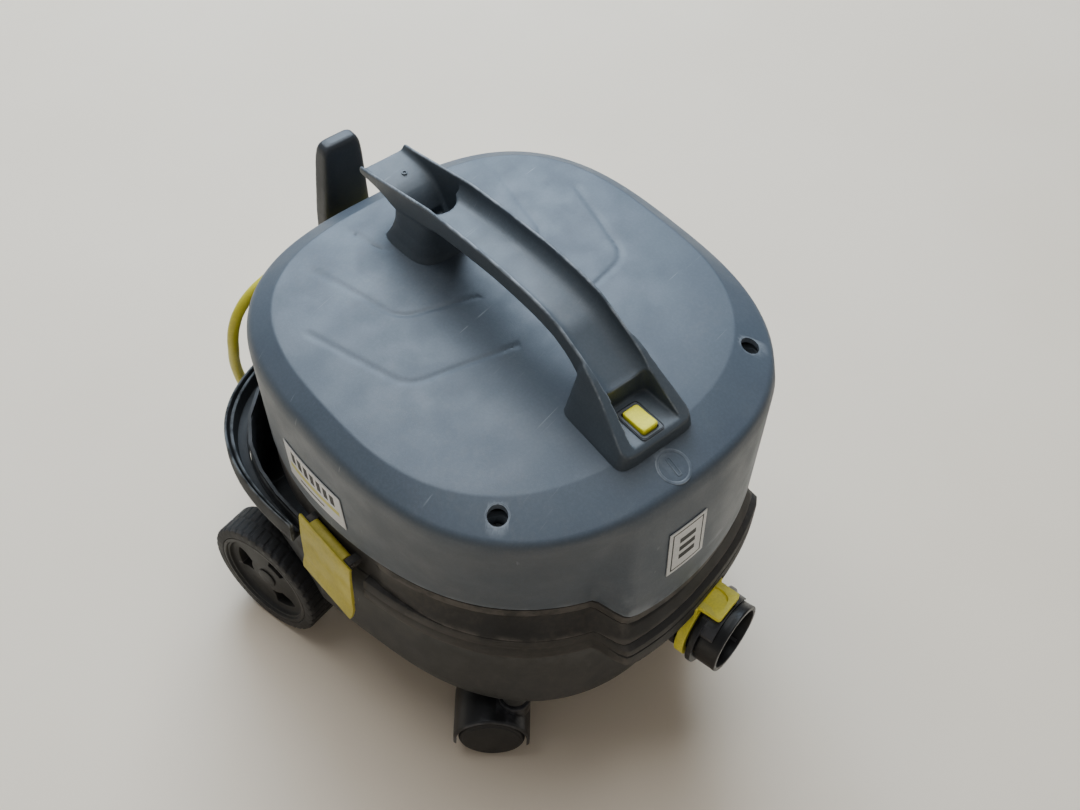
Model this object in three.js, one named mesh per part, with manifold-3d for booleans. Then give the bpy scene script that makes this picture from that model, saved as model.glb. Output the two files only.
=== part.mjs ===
// Commercial dry canister vacuum cleaner, lid closed, standing on its wheels.
// Millimetres, +Z up, the hose inlet faces -Y, the floor is z = 0.
import * as THREE from 'three';
import { mergeVertices } from 'three/addons/utils/BufferGeometryUtils.js';
import Module from 'manifold-3d';

const wasm = await Module();
wasm.setup();

// ---------- driving dimensions ----------
const GAP = 0.3; // clearance between pieces that meet
const WALL = 3; // moulded wall
const AROUND = 48; // segments round the large shells
const HEAD_TURN = THREE.MathUtils.degToRad(-12); // the lid's top sits turned on the tub
const ORIGIN_Y = 1; // brings the middle of the length to the origin

const TUB = { half: 135, front: 147, rear: 180, nFront: 2.4, nRear: 3.0 };
const RIM = { half: 142, front: 149, rear: 192, nFront: 2.3, nRear: 3.4, nose: 19.5, noseHalf: 80 };
const SKIRT = { half: 139, front: 146, rear: 178, nFront: 2.1, nRear: 2.05, nose: 17, noseHalf: 76 };
const SHOULDER = { half: 147, front: 157, rear: 152, nFront: 2.6, nRear: 2.9, turn: HEAD_TURN };
const PANEL = { half: 131, front: 124, rear: 134, nFront: 2.5, nRear: 3.0, turn: HEAD_TURN };
const NOSE_STEP = 14; // width of the S-shaped step at each end of the nose

const TUB_FLOOR_Z = 52;
const TUB_RIM_Z = 147;
const BUMPER_LOW_Z = 130;
const BUMPER_TOP_Z = 150;
const BASE_TOP_Z = 186;
const SKIRT_Z = 180;
const SKIRT_NOSE_DROP = 8;
const SHOULDER_Z = 275;
const PANEL_Z = 285.5;

const WHEEL = { x: 143, y: 109, radius: 48, width: 28, hub: 39.7 };
const AXLE_R = 5;
const CASTER = { x: 103, y: -90, trail: 15, radius: 23, hood: 26.5 };
const CASTER_YAW = Math.atan2(-0.602, -0.799); // the axle's outward direction on the left side
const INLET_Z = 102;
const CORD_R = 4;

// ---------- colours ----------
function paint(color, roughness, metalness = 0) {
  return new THREE.MeshStandardMaterial({ color, roughness, metalness });
}
const panelGrey = paint(0x6a7682, 0.55);
const tubGrey = paint(0x484a4a, 0.6);
const bumperBlack = paint(0x2b2926, 0.7);
const black = paint(0x15171b, 0.5);
const yellow = paint(0xd2c430, 0.45);
const rubber = paint(0x1a1a1b, 0.85);
const steel = paint(0x9a9da0, 0.3, 1);
const cloth = paint(0xd8d6cc, 0.95);
const label = paint(0xe6e6e2, 0.5);

// ---------- geometry helpers ----------

// Merges shared corners, drops empty triangles and turns the faces outward.
function closed(geometry) {
  const plain = geometry.index ? geometry.toNonIndexed() : geometry.clone();
  plain.deleteAttribute('normal');
  plain.deleteAttribute('uv');
  const merged = mergeVertices(plain, 1e-3);
  const source = merged.index.array;
  const p = merged.attributes.position;
  const kept = [];
  const a = new THREE.Vector3();
  const b = new THREE.Vector3();
  const c = new THREE.Vector3();
  let volume = 0;
  for (let i = 0; i < source.length; i += 3) {
    const [u, v, w] = [source[i], source[i + 1], source[i + 2]];
    if (u === v || v === w || w === u) continue;
    kept.push(u, v, w);
    a.fromBufferAttribute(p, u);
    b.fromBufferAttribute(p, v);
    c.fromBufferAttribute(p, w);
    volume += a.dot(b.cross(c));
  }
  if (volume < 0) kept.reverse();
  merged.setIndex(kept);
  return merged;
}

function solid(geometry) {
  const clean = closed(geometry);
  const vertProperties = new Float32Array(clean.attributes.position.array);
  const triVerts = new Uint32Array(clean.index.array);
  return new wasm.Manifold(new wasm.Mesh({ numProp: 3, vertProperties, triVerts }));
}

function surface(manifold) {
  const mesh = manifold.getMesh();
  const geometry = new THREE.BufferGeometry();
  geometry.setAttribute('position', new THREE.BufferAttribute(new Float32Array(mesh.vertProperties), 3));
  geometry.setIndex(new THREE.BufferAttribute(new Uint32Array(mesh.triVerts), 1));
  return geometry;
}

const cut = (body, ...tools) => surface(tools.reduce((rest, t) => rest.subtract(solid(t)), solid(body)));
const join = (body, ...more) => surface(more.reduce((rest, t) => rest.add(solid(t)), solid(body)));
const common = (body, other) => surface(solid(body).intersect(solid(other)));

const box = (lo, hi) => {
  const geometry = new THREE.BoxGeometry(hi[0] - lo[0], hi[1] - lo[1], hi[2] - lo[2]);
  return geometry.translate((hi[0] + lo[0]) / 2, (hi[1] + lo[1]) / 2, (hi[2] + lo[2]) / 2);
};

// A turned piece: the profile is [radius, height] points and its axis is Z.
function lathe(profile, segments = 32) {
  const points = profile.map(([r, h]) => new THREE.Vector2(r, h));
  return closed(new THREE.LatheGeometry(points, segments).rotateX(Math.PI / 2));
}
const ringOf = (inner, outer, low, high, segments) =>
  lathe([[inner, low], [outer, low], [outer, high], [inner, high], [inner, low]], segments);
const rod = (radius, low, high, segments = 16) =>
  lathe([[0, low], [radius, low], [radius, high], [0, high]], segments);
const alongX = (geometry) => geometry.rotateY(Math.PI / 2);
const alongFront = (geometry) => geometry.rotateX(Math.PI / 2); // height runs towards -Y

// An outline in the YZ plane given thickness along X.
function slabX(outline, low, high) {
  const shape = new THREE.Shape(outline.map(([y, z]) => new THREE.Vector2(y, z)));
  const geometry = new THREE.ExtrudeGeometry(shape, { depth: high - low, bevelEnabled: false });
  return closed(geometry.rotateY(Math.PI / 2).rotateX(Math.PI / 2).translate(low, 0, 0));
}

const smooth = (t) => {
  const k = Math.min(1, Math.max(0, t));
  return k * k * (3 - 2 * k);
};
const mix = (a, b, t) => a + (b - a) * t;

// Distance from the centre to an outline, a pair of half superellipses with an optional nose.
function reach(outline, angle) {
  const local = angle - (outline.turn ?? 0);
  const c = Math.cos(local);
  const s = Math.sin(local);
  const n = s < 0 ? outline.nFront : outline.nRear;
  const depth = s < 0 ? outline.front : outline.rear;
  const r = (Math.abs(c / outline.half) ** n + Math.abs(s / depth) ** n) ** (-1 / n);
  return r + (outline.nose ?? 0) * noseShare(outline, angle, r) / Math.max(0.5, Math.abs(s));
}
function noseShare(outline, angle, r) {
  if (!outline.nose || Math.sin(angle) >= 0) return 0;
  return smooth((outline.noseHalf - Math.abs(r * Math.cos(angle))) / NOSE_STEP);
}

// One closed row of points; radius and height may change round it.
function row(radiusAt, heightAt) {
  const points = [];
  for (let i = 0; i < AROUND; i += 1) {
    const angle = (2 * Math.PI * i) / AROUND;
    const r = radiusAt(angle);
    const z = typeof heightAt === 'number' ? heightAt : heightAt(angle);
    points.push([r * Math.cos(angle), r * Math.sin(angle), z]);
  }
  return points;
}
const level = (outline, inset, z) => row((angle) => reach(outline, angle) - inset, z);

// Skins a list of rows. A loop joins its last row to its first, otherwise both ends are filled.
function skin(rows, loop = false) {
  const count = rows[0].length;
  const positions = [];
  const triangle = (a, b, c) => positions.push(...a, ...b, ...c);
  const pairs = loop ? rows.length : rows.length - 1;
  for (let k = 0; k < pairs; k += 1) {
    const low = rows[k];
    const high = rows[(k + 1) % rows.length];
    for (let i = 0; i < count; i += 1) {
      const j = (i + 1) % count;
      triangle(low[i], low[j], high[j]);
      triangle(low[i], high[j], high[i]);
    }
  }
  if (!loop) {
    for (const [ends, flip] of [[rows[0], true], [rows[rows.length - 1], false]]) {
      const middle = [0, 1, 2].map((axis) => ends.reduce((sum, p) => sum + p[axis], 0) / count);
      for (let i = 0; i < count; i += 1) {
        const j = (i + 1) % count;
        if (flip) triangle(ends[j], ends[i], middle);
        else triangle(ends[i], ends[j], middle);
      }
    }
  }
  const geometry = new THREE.BufferGeometry();
  geometry.setAttribute('position', new THREE.Float32BufferAttribute(positions, 3));
  return closed(geometry);
}

// ---------- the scene graph ----------
const machine = new THREE.Group();
machine.position.set(0, ORIGIN_Y, 0);
const lidTop = new THREE.Group(); // everything laid out along the turned handle
lidTop.rotation.z = HEAD_TURN;
machine.add(lidTop);

function add(name, geometry, material, parent = machine) {
  const mesh = new THREE.Mesh(closed(geometry), material);
  mesh.name = name;
  parent.add(mesh);
  return mesh;
}
function group(x, y, z, turnZ = 0, parent = machine) {
  const made = new THREE.Group();
  made.position.set(x, y, z);
  made.rotation.z = turnZ;
  parent.add(made);
  return made;
}

// ---------- container ----------
const sides = [['left', -1], ['right', 1]];
const ARCH_R = WHEEL.radius + 6;
const ARCH_X = WHEEL.x - WHEEL.width - 1;

function wheelArch(side, extra) {
  const arch = alongX(rod(ARCH_R + extra, ARCH_X - extra, WHEEL.x + 20, 24));
  if (side < 0) arch.rotateZ(Math.PI);
  return arch.translate(0, WHEEL.y, WHEEL.radius);
}

function container() {
  const outer = skin([
    level(TUB, 14, TUB_FLOOR_Z), level(TUB, 6, TUB_FLOOR_Z + 2), level(TUB, 2, TUB_FLOOR_Z + 6),
    level(TUB, 0, TUB_FLOOR_Z + 14), level(TUB, 0, TUB_RIM_Z),
  ]);
  const cavity = skin([
    level(TUB, 14 + WALL, TUB_FLOOR_Z + WALL), level(TUB, 2 + WALL, TUB_FLOOR_Z + 9),
    level(TUB, WALL, TUB_FLOOR_Z + 16), level(TUB, WALL, TUB_RIM_Z + 5),
  ]);
  const arches = sides.map(([, side]) => wheelArch(side, 0));
  const swollen = sides.map(([, side]) => wheelArch(side, WALL));
  let body = solid(cut(outer, ...arches)).subtract(solid(cut(cavity, ...swollen)));
  for (const [, side] of sides) {
    const axleBoss = box([72, WHEEL.y - 11, 38], [104, WHEEL.y + 11, TUB_FLOOR_Z + 1]);
    const casterBoss = rod(9, TUB_FLOOR_Z + 1, 80, 24);
    body = body.add(solid(axleBoss.scale(side, 1, 1)));
    body = body.add(solid(casterBoss.translate(side * CASTER.x, CASTER.y, 0)));
  }
  body = body.subtract(solid(alongX(rod(AXLE_R + GAP, -130, 130)).translate(0, WHEEL.y, WHEEL.radius)));
  for (const [, side] of sides) {
    body = body.subtract(solid(rod(4 + GAP, 40, 76).translate(side * CASTER.x, CASTER.y, 0)));
  }
  body = body.subtract(solid(alongFront(rod(22.6, 100, 170, 24)).translate(0, 0, INLET_Z)));
  return surface(body);
}
add('container_tub', container(), tubGrey);

const bumperRing = skin([
  level(TUB, -GAP, BUMPER_LOW_Z), level(RIM, 1.5, BUMPER_LOW_Z), level(RIM, 0, BUMPER_LOW_Z + 3),
  level(RIM, 0, BUMPER_TOP_Z - 3), level(RIM, 1.5, BUMPER_TOP_Z), level(TUB, -GAP, BUMPER_TOP_Z),
], true);
const LATCH_BAY = { low: 6, high: 72 };
const leverRoom = box([-17, -200, 120], [17, -155, 134.5]);
const bumperFront = common(bumperRing, box([-200, -220, 100], [200, LATCH_BAY.low, 160]));
add('rim_bumper_front', cut(bumperFront, leverRoom), bumperBlack);
add('rim_bumper_rear', common(bumperRing, box([-200, LATCH_BAY.high, 100], [200, 220, 160])), bumperBlack);
add('lid_seal', skin([
  level(TUB, 2.6, TUB_RIM_Z + GAP), level(TUB, 0.2, TUB_RIM_Z + GAP),
  level(TUB, 0.2, BUMPER_TOP_Z), level(TUB, 2.6, BUMPER_TOP_Z),
], true), rubber);

// ---------- hose inlet ----------
add('inlet_socket', alongFront(lathe([
  [17.5, 133], [22, 133], [22, 147.6], [27, 147.6], [27, 150], [20, 150.5], [20, 152.5], [18.8, 152.5],
  [18.8, 154.3], [20, 154.3], [20, 156.7], [17.5, 156.7], [17.5, 133],
], 24)).translate(0, 0, INLET_Z), tubGrey);

const LEVER = { half: 12.5, low: 129.9, high: 133.4, back: -163.2, front: -185, pivotY: -166, pivotZ: 131.4 };
add('hose_adapter', cut(
  alongFront(lathe([
    [14.5, 138], [17.2, 138], [17.2, 157], [25, 157], [25, 161], [22, 161.3], [22, 172.7], [29, 173],
    [29, 177], [19, 177], [19, 160], [14.5, 157], [14.5, 138],
  ], 24)).translate(0, 0, INLET_Z),
  box([-LEVER.half - 1, -180, 127.6], [LEVER.half + 1, -160, 140]),
), black);
add('hose_sleeve', alongFront(lathe([
  [15.5, 163], [18.7, 163], [18.7, 177.3], [25, 177.3], [25.5, 193], [25.3, 194], [22.3, 194],
  [21.5, 180], [15.5, 176], [15.5, 163],
], 24)).translate(0, 0, INLET_Z), black);
const lug = (side) => box([side * 14.2 - 1.3, -169, 122], [side * 14.2 + 1.3, -163, 133.6]);
add('clip_ring', cut(
  join(alongFront(ringOf(22.3, 27.4, 163, 170, 24)).translate(0, 0, INLET_Z), lug(-1), lug(1)),
  alongX(rod(1.2 + GAP, -20, 20, 12)).translate(0, LEVER.pivotY, LEVER.pivotZ),
), yellow);
add('release_lever', cut(
  box([-LEVER.half, LEVER.front, LEVER.low], [LEVER.half, LEVER.back, LEVER.high]),
  alongX(rod(1.2 + GAP, -20, 20, 12)).translate(0, LEVER.pivotY, LEVER.pivotZ),
  box([-7.5, -181, LEVER.high - 1.2], [7.5, -168.5, LEVER.high + 2]),
), yellow);
add('lever_pin', alongX(rod(1.2, -15.3, 15.3, 12)).translate(0, LEVER.pivotY, LEVER.pivotZ), steel);

// ---------- rear wheels ----------
add('rear_axle', alongX(rod(AXLE_R, -138, 138)).translate(0, WHEEL.y, WHEEL.radius), steel);

function wheelHub() {
  const disc = lathe([
    [5.3, 0], [12, 0], [12, 9], [35, 9], [35, 0], [WHEEL.hub, 0], [WHEEL.hub, 28], [37, 28], [35.5, 23],
    [12, 16], [11, 24], [5.3, 24], [5.3, 0],
  ], 32);
  const windows = [0, 1, 2].map((k) => {
    const angle = (k * 2 * Math.PI) / 3 + Math.PI / 2;
    const hole = rod(7.5, -5, 40, 12).scale(1, 1.5, 1);
    return hole.translate(23.5, 0, 0).rotateZ(angle);
  });
  return cut(disc, ...windows);
}
for (const [name, side] of sides) {
  const wheel = new THREE.Group();
  wheel.position.set(side * (WHEEL.x - WHEEL.width), WHEEL.y, WHEEL.radius);
  wheel.rotation.y = side * Math.PI / 2; // local Z points outward
  machine.add(wheel);
  const tyre = lathe([
    [WHEEL.hub + GAP, 0], [WHEEL.radius - 1.5, 0], [WHEEL.radius, 2], [WHEEL.radius, WHEEL.width - 2],
    [WHEEL.radius - 1.5, WHEEL.width], [WHEEL.hub + GAP, WHEEL.width], [WHEEL.hub + GAP, 0],
  ], 40);
  add(`rear_wheel_${name}`, wheelHub(), black, wheel);
  add(`rear_tyre_${name}`, tyre, rubber, wheel);
  add(`wheel_cap_${name}`, lathe([[0, 24.3], [9, 24.3], [8.5, 27], [4, 28], [0, 28]], 16), black, wheel);
}

// ---------- front casters ----------
// Local X is the axle's outward direction, local Y the way the wheel rolls.
function casterFork(side) {
  const arch = (radius, half) => {
    const outline = [[-radius, 15]];
    for (let i = 0; i <= 12; i += 1) {
      const angle = Math.PI - (Math.PI * i) / 12;
      outline.push([radius * Math.cos(angle), CASTER.radius + radius * Math.sin(angle)]);
    }
    outline.push([radius, 15]);
    return slabX(outline, -half, half);
  };
  const below = box([-30, -24.3, -5], [30, 24.3, 16]);
  const web = box([-5.2, -30, -10], [5.2, 30, 60]);
  const wheelRoom = cut(join(arch(24.3, 30), below), web);
  const boss = rod(11, 38, 51.3, 24).translate(0, -side * CASTER.trail, 0);
  const stemHole = rod(4 + GAP, 43, 60).translate(0, -side * CASTER.trail, 0);
  return cut(
    join(arch(CASTER.hood, 19.5), boss),
    wheelRoom,
    stemHole,
    alongX(rod(2 + GAP, -25, 25, 12)).translate(0, 0, CASTER.radius),
  );
}
function casterWheel(outward) {
  const inner = 5.6;
  const face = 21;
  const disc = lathe([
    [0, 17.8], [2.3, 17.8], [2.3, inner], [CASTER.radius - 1, inner], [CASTER.radius, inner + 1],
    [CASTER.radius, face - 3], [CASTER.radius - 2.5, face - 0.8], [0, face],
  ], 24);
  return alongX(disc).rotateZ(outward > 0 ? 0 : Math.PI).translate(0, 0, CASTER.radius);
}
for (const [name, side] of sides) {
  const caster = group(side * CASTER.x, CASTER.y, 0, side < 0 ? CASTER_YAW : Math.PI - CASTER_YAW);
  const trailing = group(0, side * CASTER.trail, 0, 0, caster);
  add(`caster_fork_${name}`, casterFork(side), black, trailing);
  add(`caster_axle_${name}`, alongX(rod(2, -17.3, 17.3, 12)).translate(0, 0, CASTER.radius), steel, trailing);
  add(`caster_wheel_outer_${name}`, casterWheel(1), rubber, trailing);
  add(`caster_wheel_inner_${name}`, casterWheel(-1), rubber, trailing);
  add(`caster_stem_${name}`, rod(4, 43.5, 74), steel, caster);
}

// ---------- lid: base ring and cover ----------
const COVER_INSET = WALL + GAP; // the base ring stands inside the skirt
const skirtLow = (angle) => SKIRT_Z - SKIRT_NOSE_DROP * noseShare(SKIRT, angle, reach(SKIRT, angle));

// The cover's side between the skirt edge and the shoulder.
function sideReach(angle, z) {
  const share = Math.min(1, Math.max(0, (z - SKIRT_Z) / (SHOULDER_Z - SKIRT_Z)));
  return mix(reach(SKIRT, angle), reach(SHOULDER, angle), share);
}
const sideRow = (inset, z) => row((angle) => sideReach(angle, z) - inset, z);

const MOTOR = { y: 12, radius: 58, low: BUMPER_TOP_Z + 5 + 2 * GAP, high: 262 };
function lidBase() {
  const shell = skin([
    level(SKIRT, COVER_INSET + WALL, BUMPER_TOP_Z + 5), level(SKIRT, COVER_INSET + WALL + 2, BASE_TOP_Z),
    level(SKIRT, COVER_INSET + 2, BASE_TOP_Z), level(SKIRT, COVER_INSET, SKIRT_Z - SKIRT_NOSE_DROP),
    level(SKIRT, COVER_INSET, BUMPER_TOP_Z + GAP),
  ].reverse());
  return cut(shell, rod(34, 100, 200, 24).translate(0, MOTOR.y, 0));
}

// ---------- latches: hinged on the lid base, hanging over the bumper's side bays ----------
const LATCH = { x: 137.4, y: 36.4, z: 163, half: 28, knuckle: 18, lug: 24, lugR: 3.2, pin: 1.4 };

// An outline in the XZ plane given thickness along Y.
function slabY(outline, low, high) {
  const shape = new THREE.Shape(outline.map(([x, z]) => new THREE.Vector2(x, z)));
  const geometry = new THREE.ExtrudeGeometry(shape, { depth: high - low, bevelEnabled: false });
  return closed(geometry.rotateX(Math.PI / 2).translate(0, high, 0));
}
const alongY = (geometry) => geometry.rotateX(-Math.PI / 2); // height runs towards +Y

function latchPlate() {
  const plate = slabY([
    [-6.2, 3], [-9, -40], [-13.5, -48], [-12, -50], [-6.6, -42], [-3.7, 2.6],
  ], -LATCH.half, LATCH.half);
  const web = box([-4.6, -LATCH.knuckle, -2.8], [0, LATCH.knuckle, 2.8]);
  const knuckle = alongY(rod(3.3, -LATCH.knuckle, LATCH.knuckle));
  const bore = alongY(rod(LATCH.pin + GAP, -LATCH.half - 1, LATCH.half + 1, 12));
  return cut(join(plate, web, knuckle), bore);
}
function latchLugs() {
  const ends = [[-LATCH.lug, -LATCH.knuckle - 0.4], [LATCH.knuckle + 0.4, LATCH.lug]];
  const [first, second] = ends.map(([low, high]) => join(
    alongY(rod(LATCH.lugR, low, high)),
    box([0, low, -LATCH.lugR], [9, high, 2.2]),
  ));
  return cut(join(first, second), alongY(rod(LATCH.pin + GAP, -30, 30, 12)));
}
// The left latch's pieces put in place, and the right one's as their mirror image.
function atLatch(geometry, side) {
  geometry.rotateZ(HEAD_TURN).translate(-LATCH.x, LATCH.y, LATCH.z);
  return closed(geometry.scale(-side, 1, 1));
}

let lidBaseShape = solid(lidBase());
for (const [, side] of sides) lidBaseShape = lidBaseShape.add(solid(atLatch(latchLugs(), side)));
for (const [, side] of sides) {
  const bore = alongY(rod(LATCH.pin + GAP, -30, 30, 12));
  lidBaseShape = lidBaseShape.subtract(solid(atLatch(bore, side)));
}
add('lid_base', surface(lidBaseShape), bumperBlack);
for (const [name, side] of sides) {
  add(`latch_${name}`, atLatch(latchPlate(), side), yellow);
  add(`latch_pin_${name}`, atLatch(alongY(rod(LATCH.pin, -LATCH.lug, LATCH.lug, 12)), side), steel);
}

// ---------- lid cover ----------
const domeRow = (grow, z) => row((angle) => reach(PANEL, angle) * 0.6 + grow, z);
const coverRows = (grow) => [
  row((angle) => reach(SKIRT, angle) + grow, skirtLow),
  sideRow(-grow, 215),
  sideRow(-grow, 250),
  row((angle) => mix(reach(SKIRT, angle), reach(SHOULDER, angle), 0.93) + grow, 268),
  level(SHOULDER, 2.5 - grow, SHOULDER_Z + 1 + grow / 2),
  level(PANEL, -grow, PANEL_Z + grow),
  domeRow(grow, 290.5 + grow),
];
const turned = (geometry) => geometry.rotateZ(HEAD_TURN);
const unturned = (geometry) => geometry.rotateZ(-HEAD_TURN);
const coverOutside = (grow) => skin(coverRows(grow));

const SCREW = { x: 100, y: -107, seat: 264 };
const SWITCH = { x: -1.5, y: -114.6, halfX: 8, halfY: 12, floor: 295 };

function coverShell() {
  let body = solid(skin([...coverRows(-WALL).reverse(), ...coverRows(0)]));
  for (const [, side] of sides) {
    const boss = rod(9.5, SCREW.seat - 16, SCREW.seat + 14, 16).translate(side * SCREW.x, SCREW.y, 0);
    body = body.add(solid(turned(boss)));
  }
  for (const [, side] of sides) {
    const well = rod(6, SCREW.seat, 300, 20).translate(side * SCREW.x, SCREW.y, 0);
    const thread = rod(2.3, SCREW.seat - 30, SCREW.seat + 1, 12).translate(side * SCREW.x, SCREW.y, 0);
    body = body.subtract(solid(turned(well))).subtract(solid(turned(thread)));
  }
  const window = box(
    [SWITCH.x - SWITCH.halfX + 0.8, SWITCH.y - SWITCH.halfY + 0.8, 250],
    [SWITCH.x + SWITCH.halfX - 0.8, SWITCH.y + SWITCH.halfY - 0.8, 300],
  );
  return surface(body.subtract(solid(turned(window))));
}
add('lid_cover', coverShell(), panelGrey);
for (const [name, side] of sides) {
  const screw = lathe([
    [0, -14], [2, -14], [2, GAP], [5, GAP], [5, 3], [1.8, 3.4], [1.8, 1.4], [0, 1.4],
  ], 12);
  add(`cover_screw_${name}`, screw.translate(side * SCREW.x, SCREW.y, SCREW.seat), steel, lidTop);
}

// ---------- carry handle ----------
// Side views as [y, z], rear tip first.
const LIPS = [
  [138, 325], [126, 327], [100, 332], [61, 339.5], [32, 342], [0, 344], [-23, 344], [-40, 343], [-57, 340],
  [-77, 331], [-92, 323], [-104, 314], [-118, 303], [-127, 295.5], [-133, 291],
];
const UNDERSIDE = [
  [-133, 280], [-77, 280], [-76, 311], [-71, 318], [-57, 325], [-40, 328], [-23, 329], [0, 329], [32, 326.5],
  [54, 323.5], [59, 318], [60, 280], [118, 280], [109, 292], [101, 304], [104, 314], [112, 316], [138, 317],
];
const TROUGH = [
  [150, 322], [116, 322], [96, 316], [80, 303], [66, 300], [64, 326], [32, 330], [0, 332], [-23, 332],
  [-40, 331], [-57, 328], [-77, 319], [-97, 310], [-98, SWITCH.floor], [-140, SWITCH.floor],
  [-140, 380], [150, 380],
];
const GRIP_HALF = 18.5;

// A row of rounded-rectangle points at height z.
function padRow(halfX, yLow, yHigh, z) {
  const points = [];
  const count = 20;
  const middle = (yLow + yHigh) / 2;
  const halfY = (yHigh - yLow) / 2;
  for (let i = 0; i < count; i += 1) {
    const angle = (2 * Math.PI * i) / count;
    const c = Math.cos(angle);
    const s = Math.sin(angle);
    const r = (Math.abs(c) ** 6 + Math.abs(s) ** 6) ** (-1 / 6);
    points.push([halfX * r * c, middle + halfY * r * s, z]);
  }
  return points;
}
function handleShape() {
  const profile = [...LIPS, ...UNDERSIDE];
  const wide = slabX(profile, -40, 40);
  const grip = slabX(profile, -GRIP_HALF, GRIP_HALF);
  const pod = skin([
    padRow(31, -134, -76, 280), padRow(29, -134, -76, 290),
    padRow(22, -134, -76, 315), padRow(19, -134, -76, 345),
  ]);
  const column = skin([
    padRow(31, 59, 119, 280), padRow(26, 59, 113, 290), padRow(19, 60, 102, 304), padRow(18.5, 60, 102, 320),
  ]);
  const body = join(grip, common(pod, wide), common(column, wide));
  const trough = slabX(TROUGH, -GRIP_HALF + 2.6, GRIP_HALF - 2.6);
  const pocket = skin([
    padRow(18.5, -140, -98, SWITCH.floor), padRow(17.5, -140, -98, 300), padRow(16, -140, -98, 330),
  ]);
  const window = box(
    [SWITCH.x - SWITCH.halfX + 0.8, SWITCH.y - SWITCH.halfY + 0.8, 270],
    [SWITCH.x + SWITCH.halfX - 0.8, SWITCH.y + SWITCH.halfY - 0.8, 300],
  );
  return cut(body, trough, pocket, window, unturned(coverOutside(GAP)));
}
add('carry_handle', handleShape(), panelGrey, lidTop);

// ---------- power switch ----------
const switchPost = group(SWITCH.x, SWITCH.y, SWITCH.floor, 0, lidTop);
const frameBox = (halfX, halfY, low, high) => box([-halfX, -halfY, low], [halfX, halfY, high]);
add('switch_bezel', cut(frameBox(8, 12, GAP, 2.3), frameBox(6.4, 10.2, -1, 3)), black, switchPost);
add('switch_body', frameBox(6.6, 10.6, -28, -5), black, switchPost);
const rockerSide = [[-9, -2], [9, -2], [9.3, 4.4], [0, 3], [-9.3, 5.4]];
add('power_rocker', slabX(rockerSide, -5.9, 5.9), yellow, switchPost);

// ---------- cable hook, gland and labels ----------
function hookShape() {
  const paddle = skin([
    padRow(19, 175, 192, 222), padRow(18.7, 175, 192, 245), padRow(15.4, 175, 191.5, 275),
    padRow(12.8, 175.5, 190.5, 298), padRow(11, 177, 188, 309),
  ]);
  const arm = box([-11, 140, 221], [11, 178, 231]);
  return cut(join(paddle, arm), unturned(coverOutside(GAP)));
}
add('cable_hook', hookShape(), black, lidTop);

const GLAND = { x: 66, y: 168.5, z: 229, tip: 38 };
const gland = box([GLAND.x, 130, GLAND.z - 9], [GLAND.x + 26, GLAND.y + 9, GLAND.z + 9]);
add('cord_gland', cut(gland, unturned(coverOutside(GAP))), black, lidTop);
const relief = lathe([[CORD_R + GAP, 0], [5, 0], [8, 27.7], [CORD_R + GAP, 27.7], [CORD_R + GAP, 0]], 12);
add('strain_relief', alongX(relief).translate(GLAND.tip, GLAND.y, GLAND.z), rubber, lidTop);

// A thin sticker lying on the cover's side, between two angles and two heights.
function sticker(angleLow, angleHigh, zLow, zHigh) {
  const rows = [];
  const steps = 8;
  for (let i = 0; i <= steps; i += 1) {
    const angle = mix(angleLow, angleHigh, i / steps);
    const at = (lift, z) => {
      const r = sideReach(angle, z) + lift;
      return [r * Math.cos(angle), r * Math.sin(angle), z];
    };
    rows.push([at(0.4, zLow), at(0.9, zLow), at(0.9, zHigh), at(0.4, zHigh)]);
  }
  return skin(rows);
}
const degrees = THREE.MathUtils.degToRad;
add('side_label', sticker(degrees(151), degrees(175), 196, 234), label);
add('front_label', sticker(degrees(-103.5), degrees(-92.4), 200, 240), label);

// ---------- inside the lid ----------
add('motor_housing', lathe([
  [0, MOTOR.high], [MOTOR.radius, MOTOR.high], [MOTOR.radius, MOTOR.low], [MOTOR.radius - 4, MOTOR.low],
  [MOTOR.radius - 4, MOTOR.high - 4], [0, MOTOR.high - 4],
], 24).translate(0, MOTOR.y, 0), black);
add('motor_armature', lathe([
  [0, 158], [4, 158], [4, 200], [26, 200], [26, 240], [4, 240], [4, 252], [0, 252],
], 16).translate(0, MOTOR.y, 0), steel);
add('fan_wheel', ringOf(4 + GAP, 50, 164, 182, 24).translate(0, MOTOR.y, 0), steel);
add('motor_filter', rod(40, 138, BUMPER_TOP_Z, 32).translate(0, MOTOR.y, 0), cloth);
add('main_filter', lathe([[0, 85], [78, 85], [84, 150], [81, 150], [75.2, 88], [0, 88]], 32)
  .translate(0, 20, 0), cloth);
function filterCage() {
  const basket = lathe([[0, 91], [70, 91], [77, 148], [75, 148], [68.2, 93], [0, 93]], 32);
  const slots = [0, 1, 2, 3, 4, 5].map((k) => box([50, -14, 98], [90, 14, 138]).rotateZ((k * Math.PI) / 3));
  return cut(basket, ...slots).translate(0, 20, 0);
}
add('filter_cage', filterCage(), black);

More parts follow.
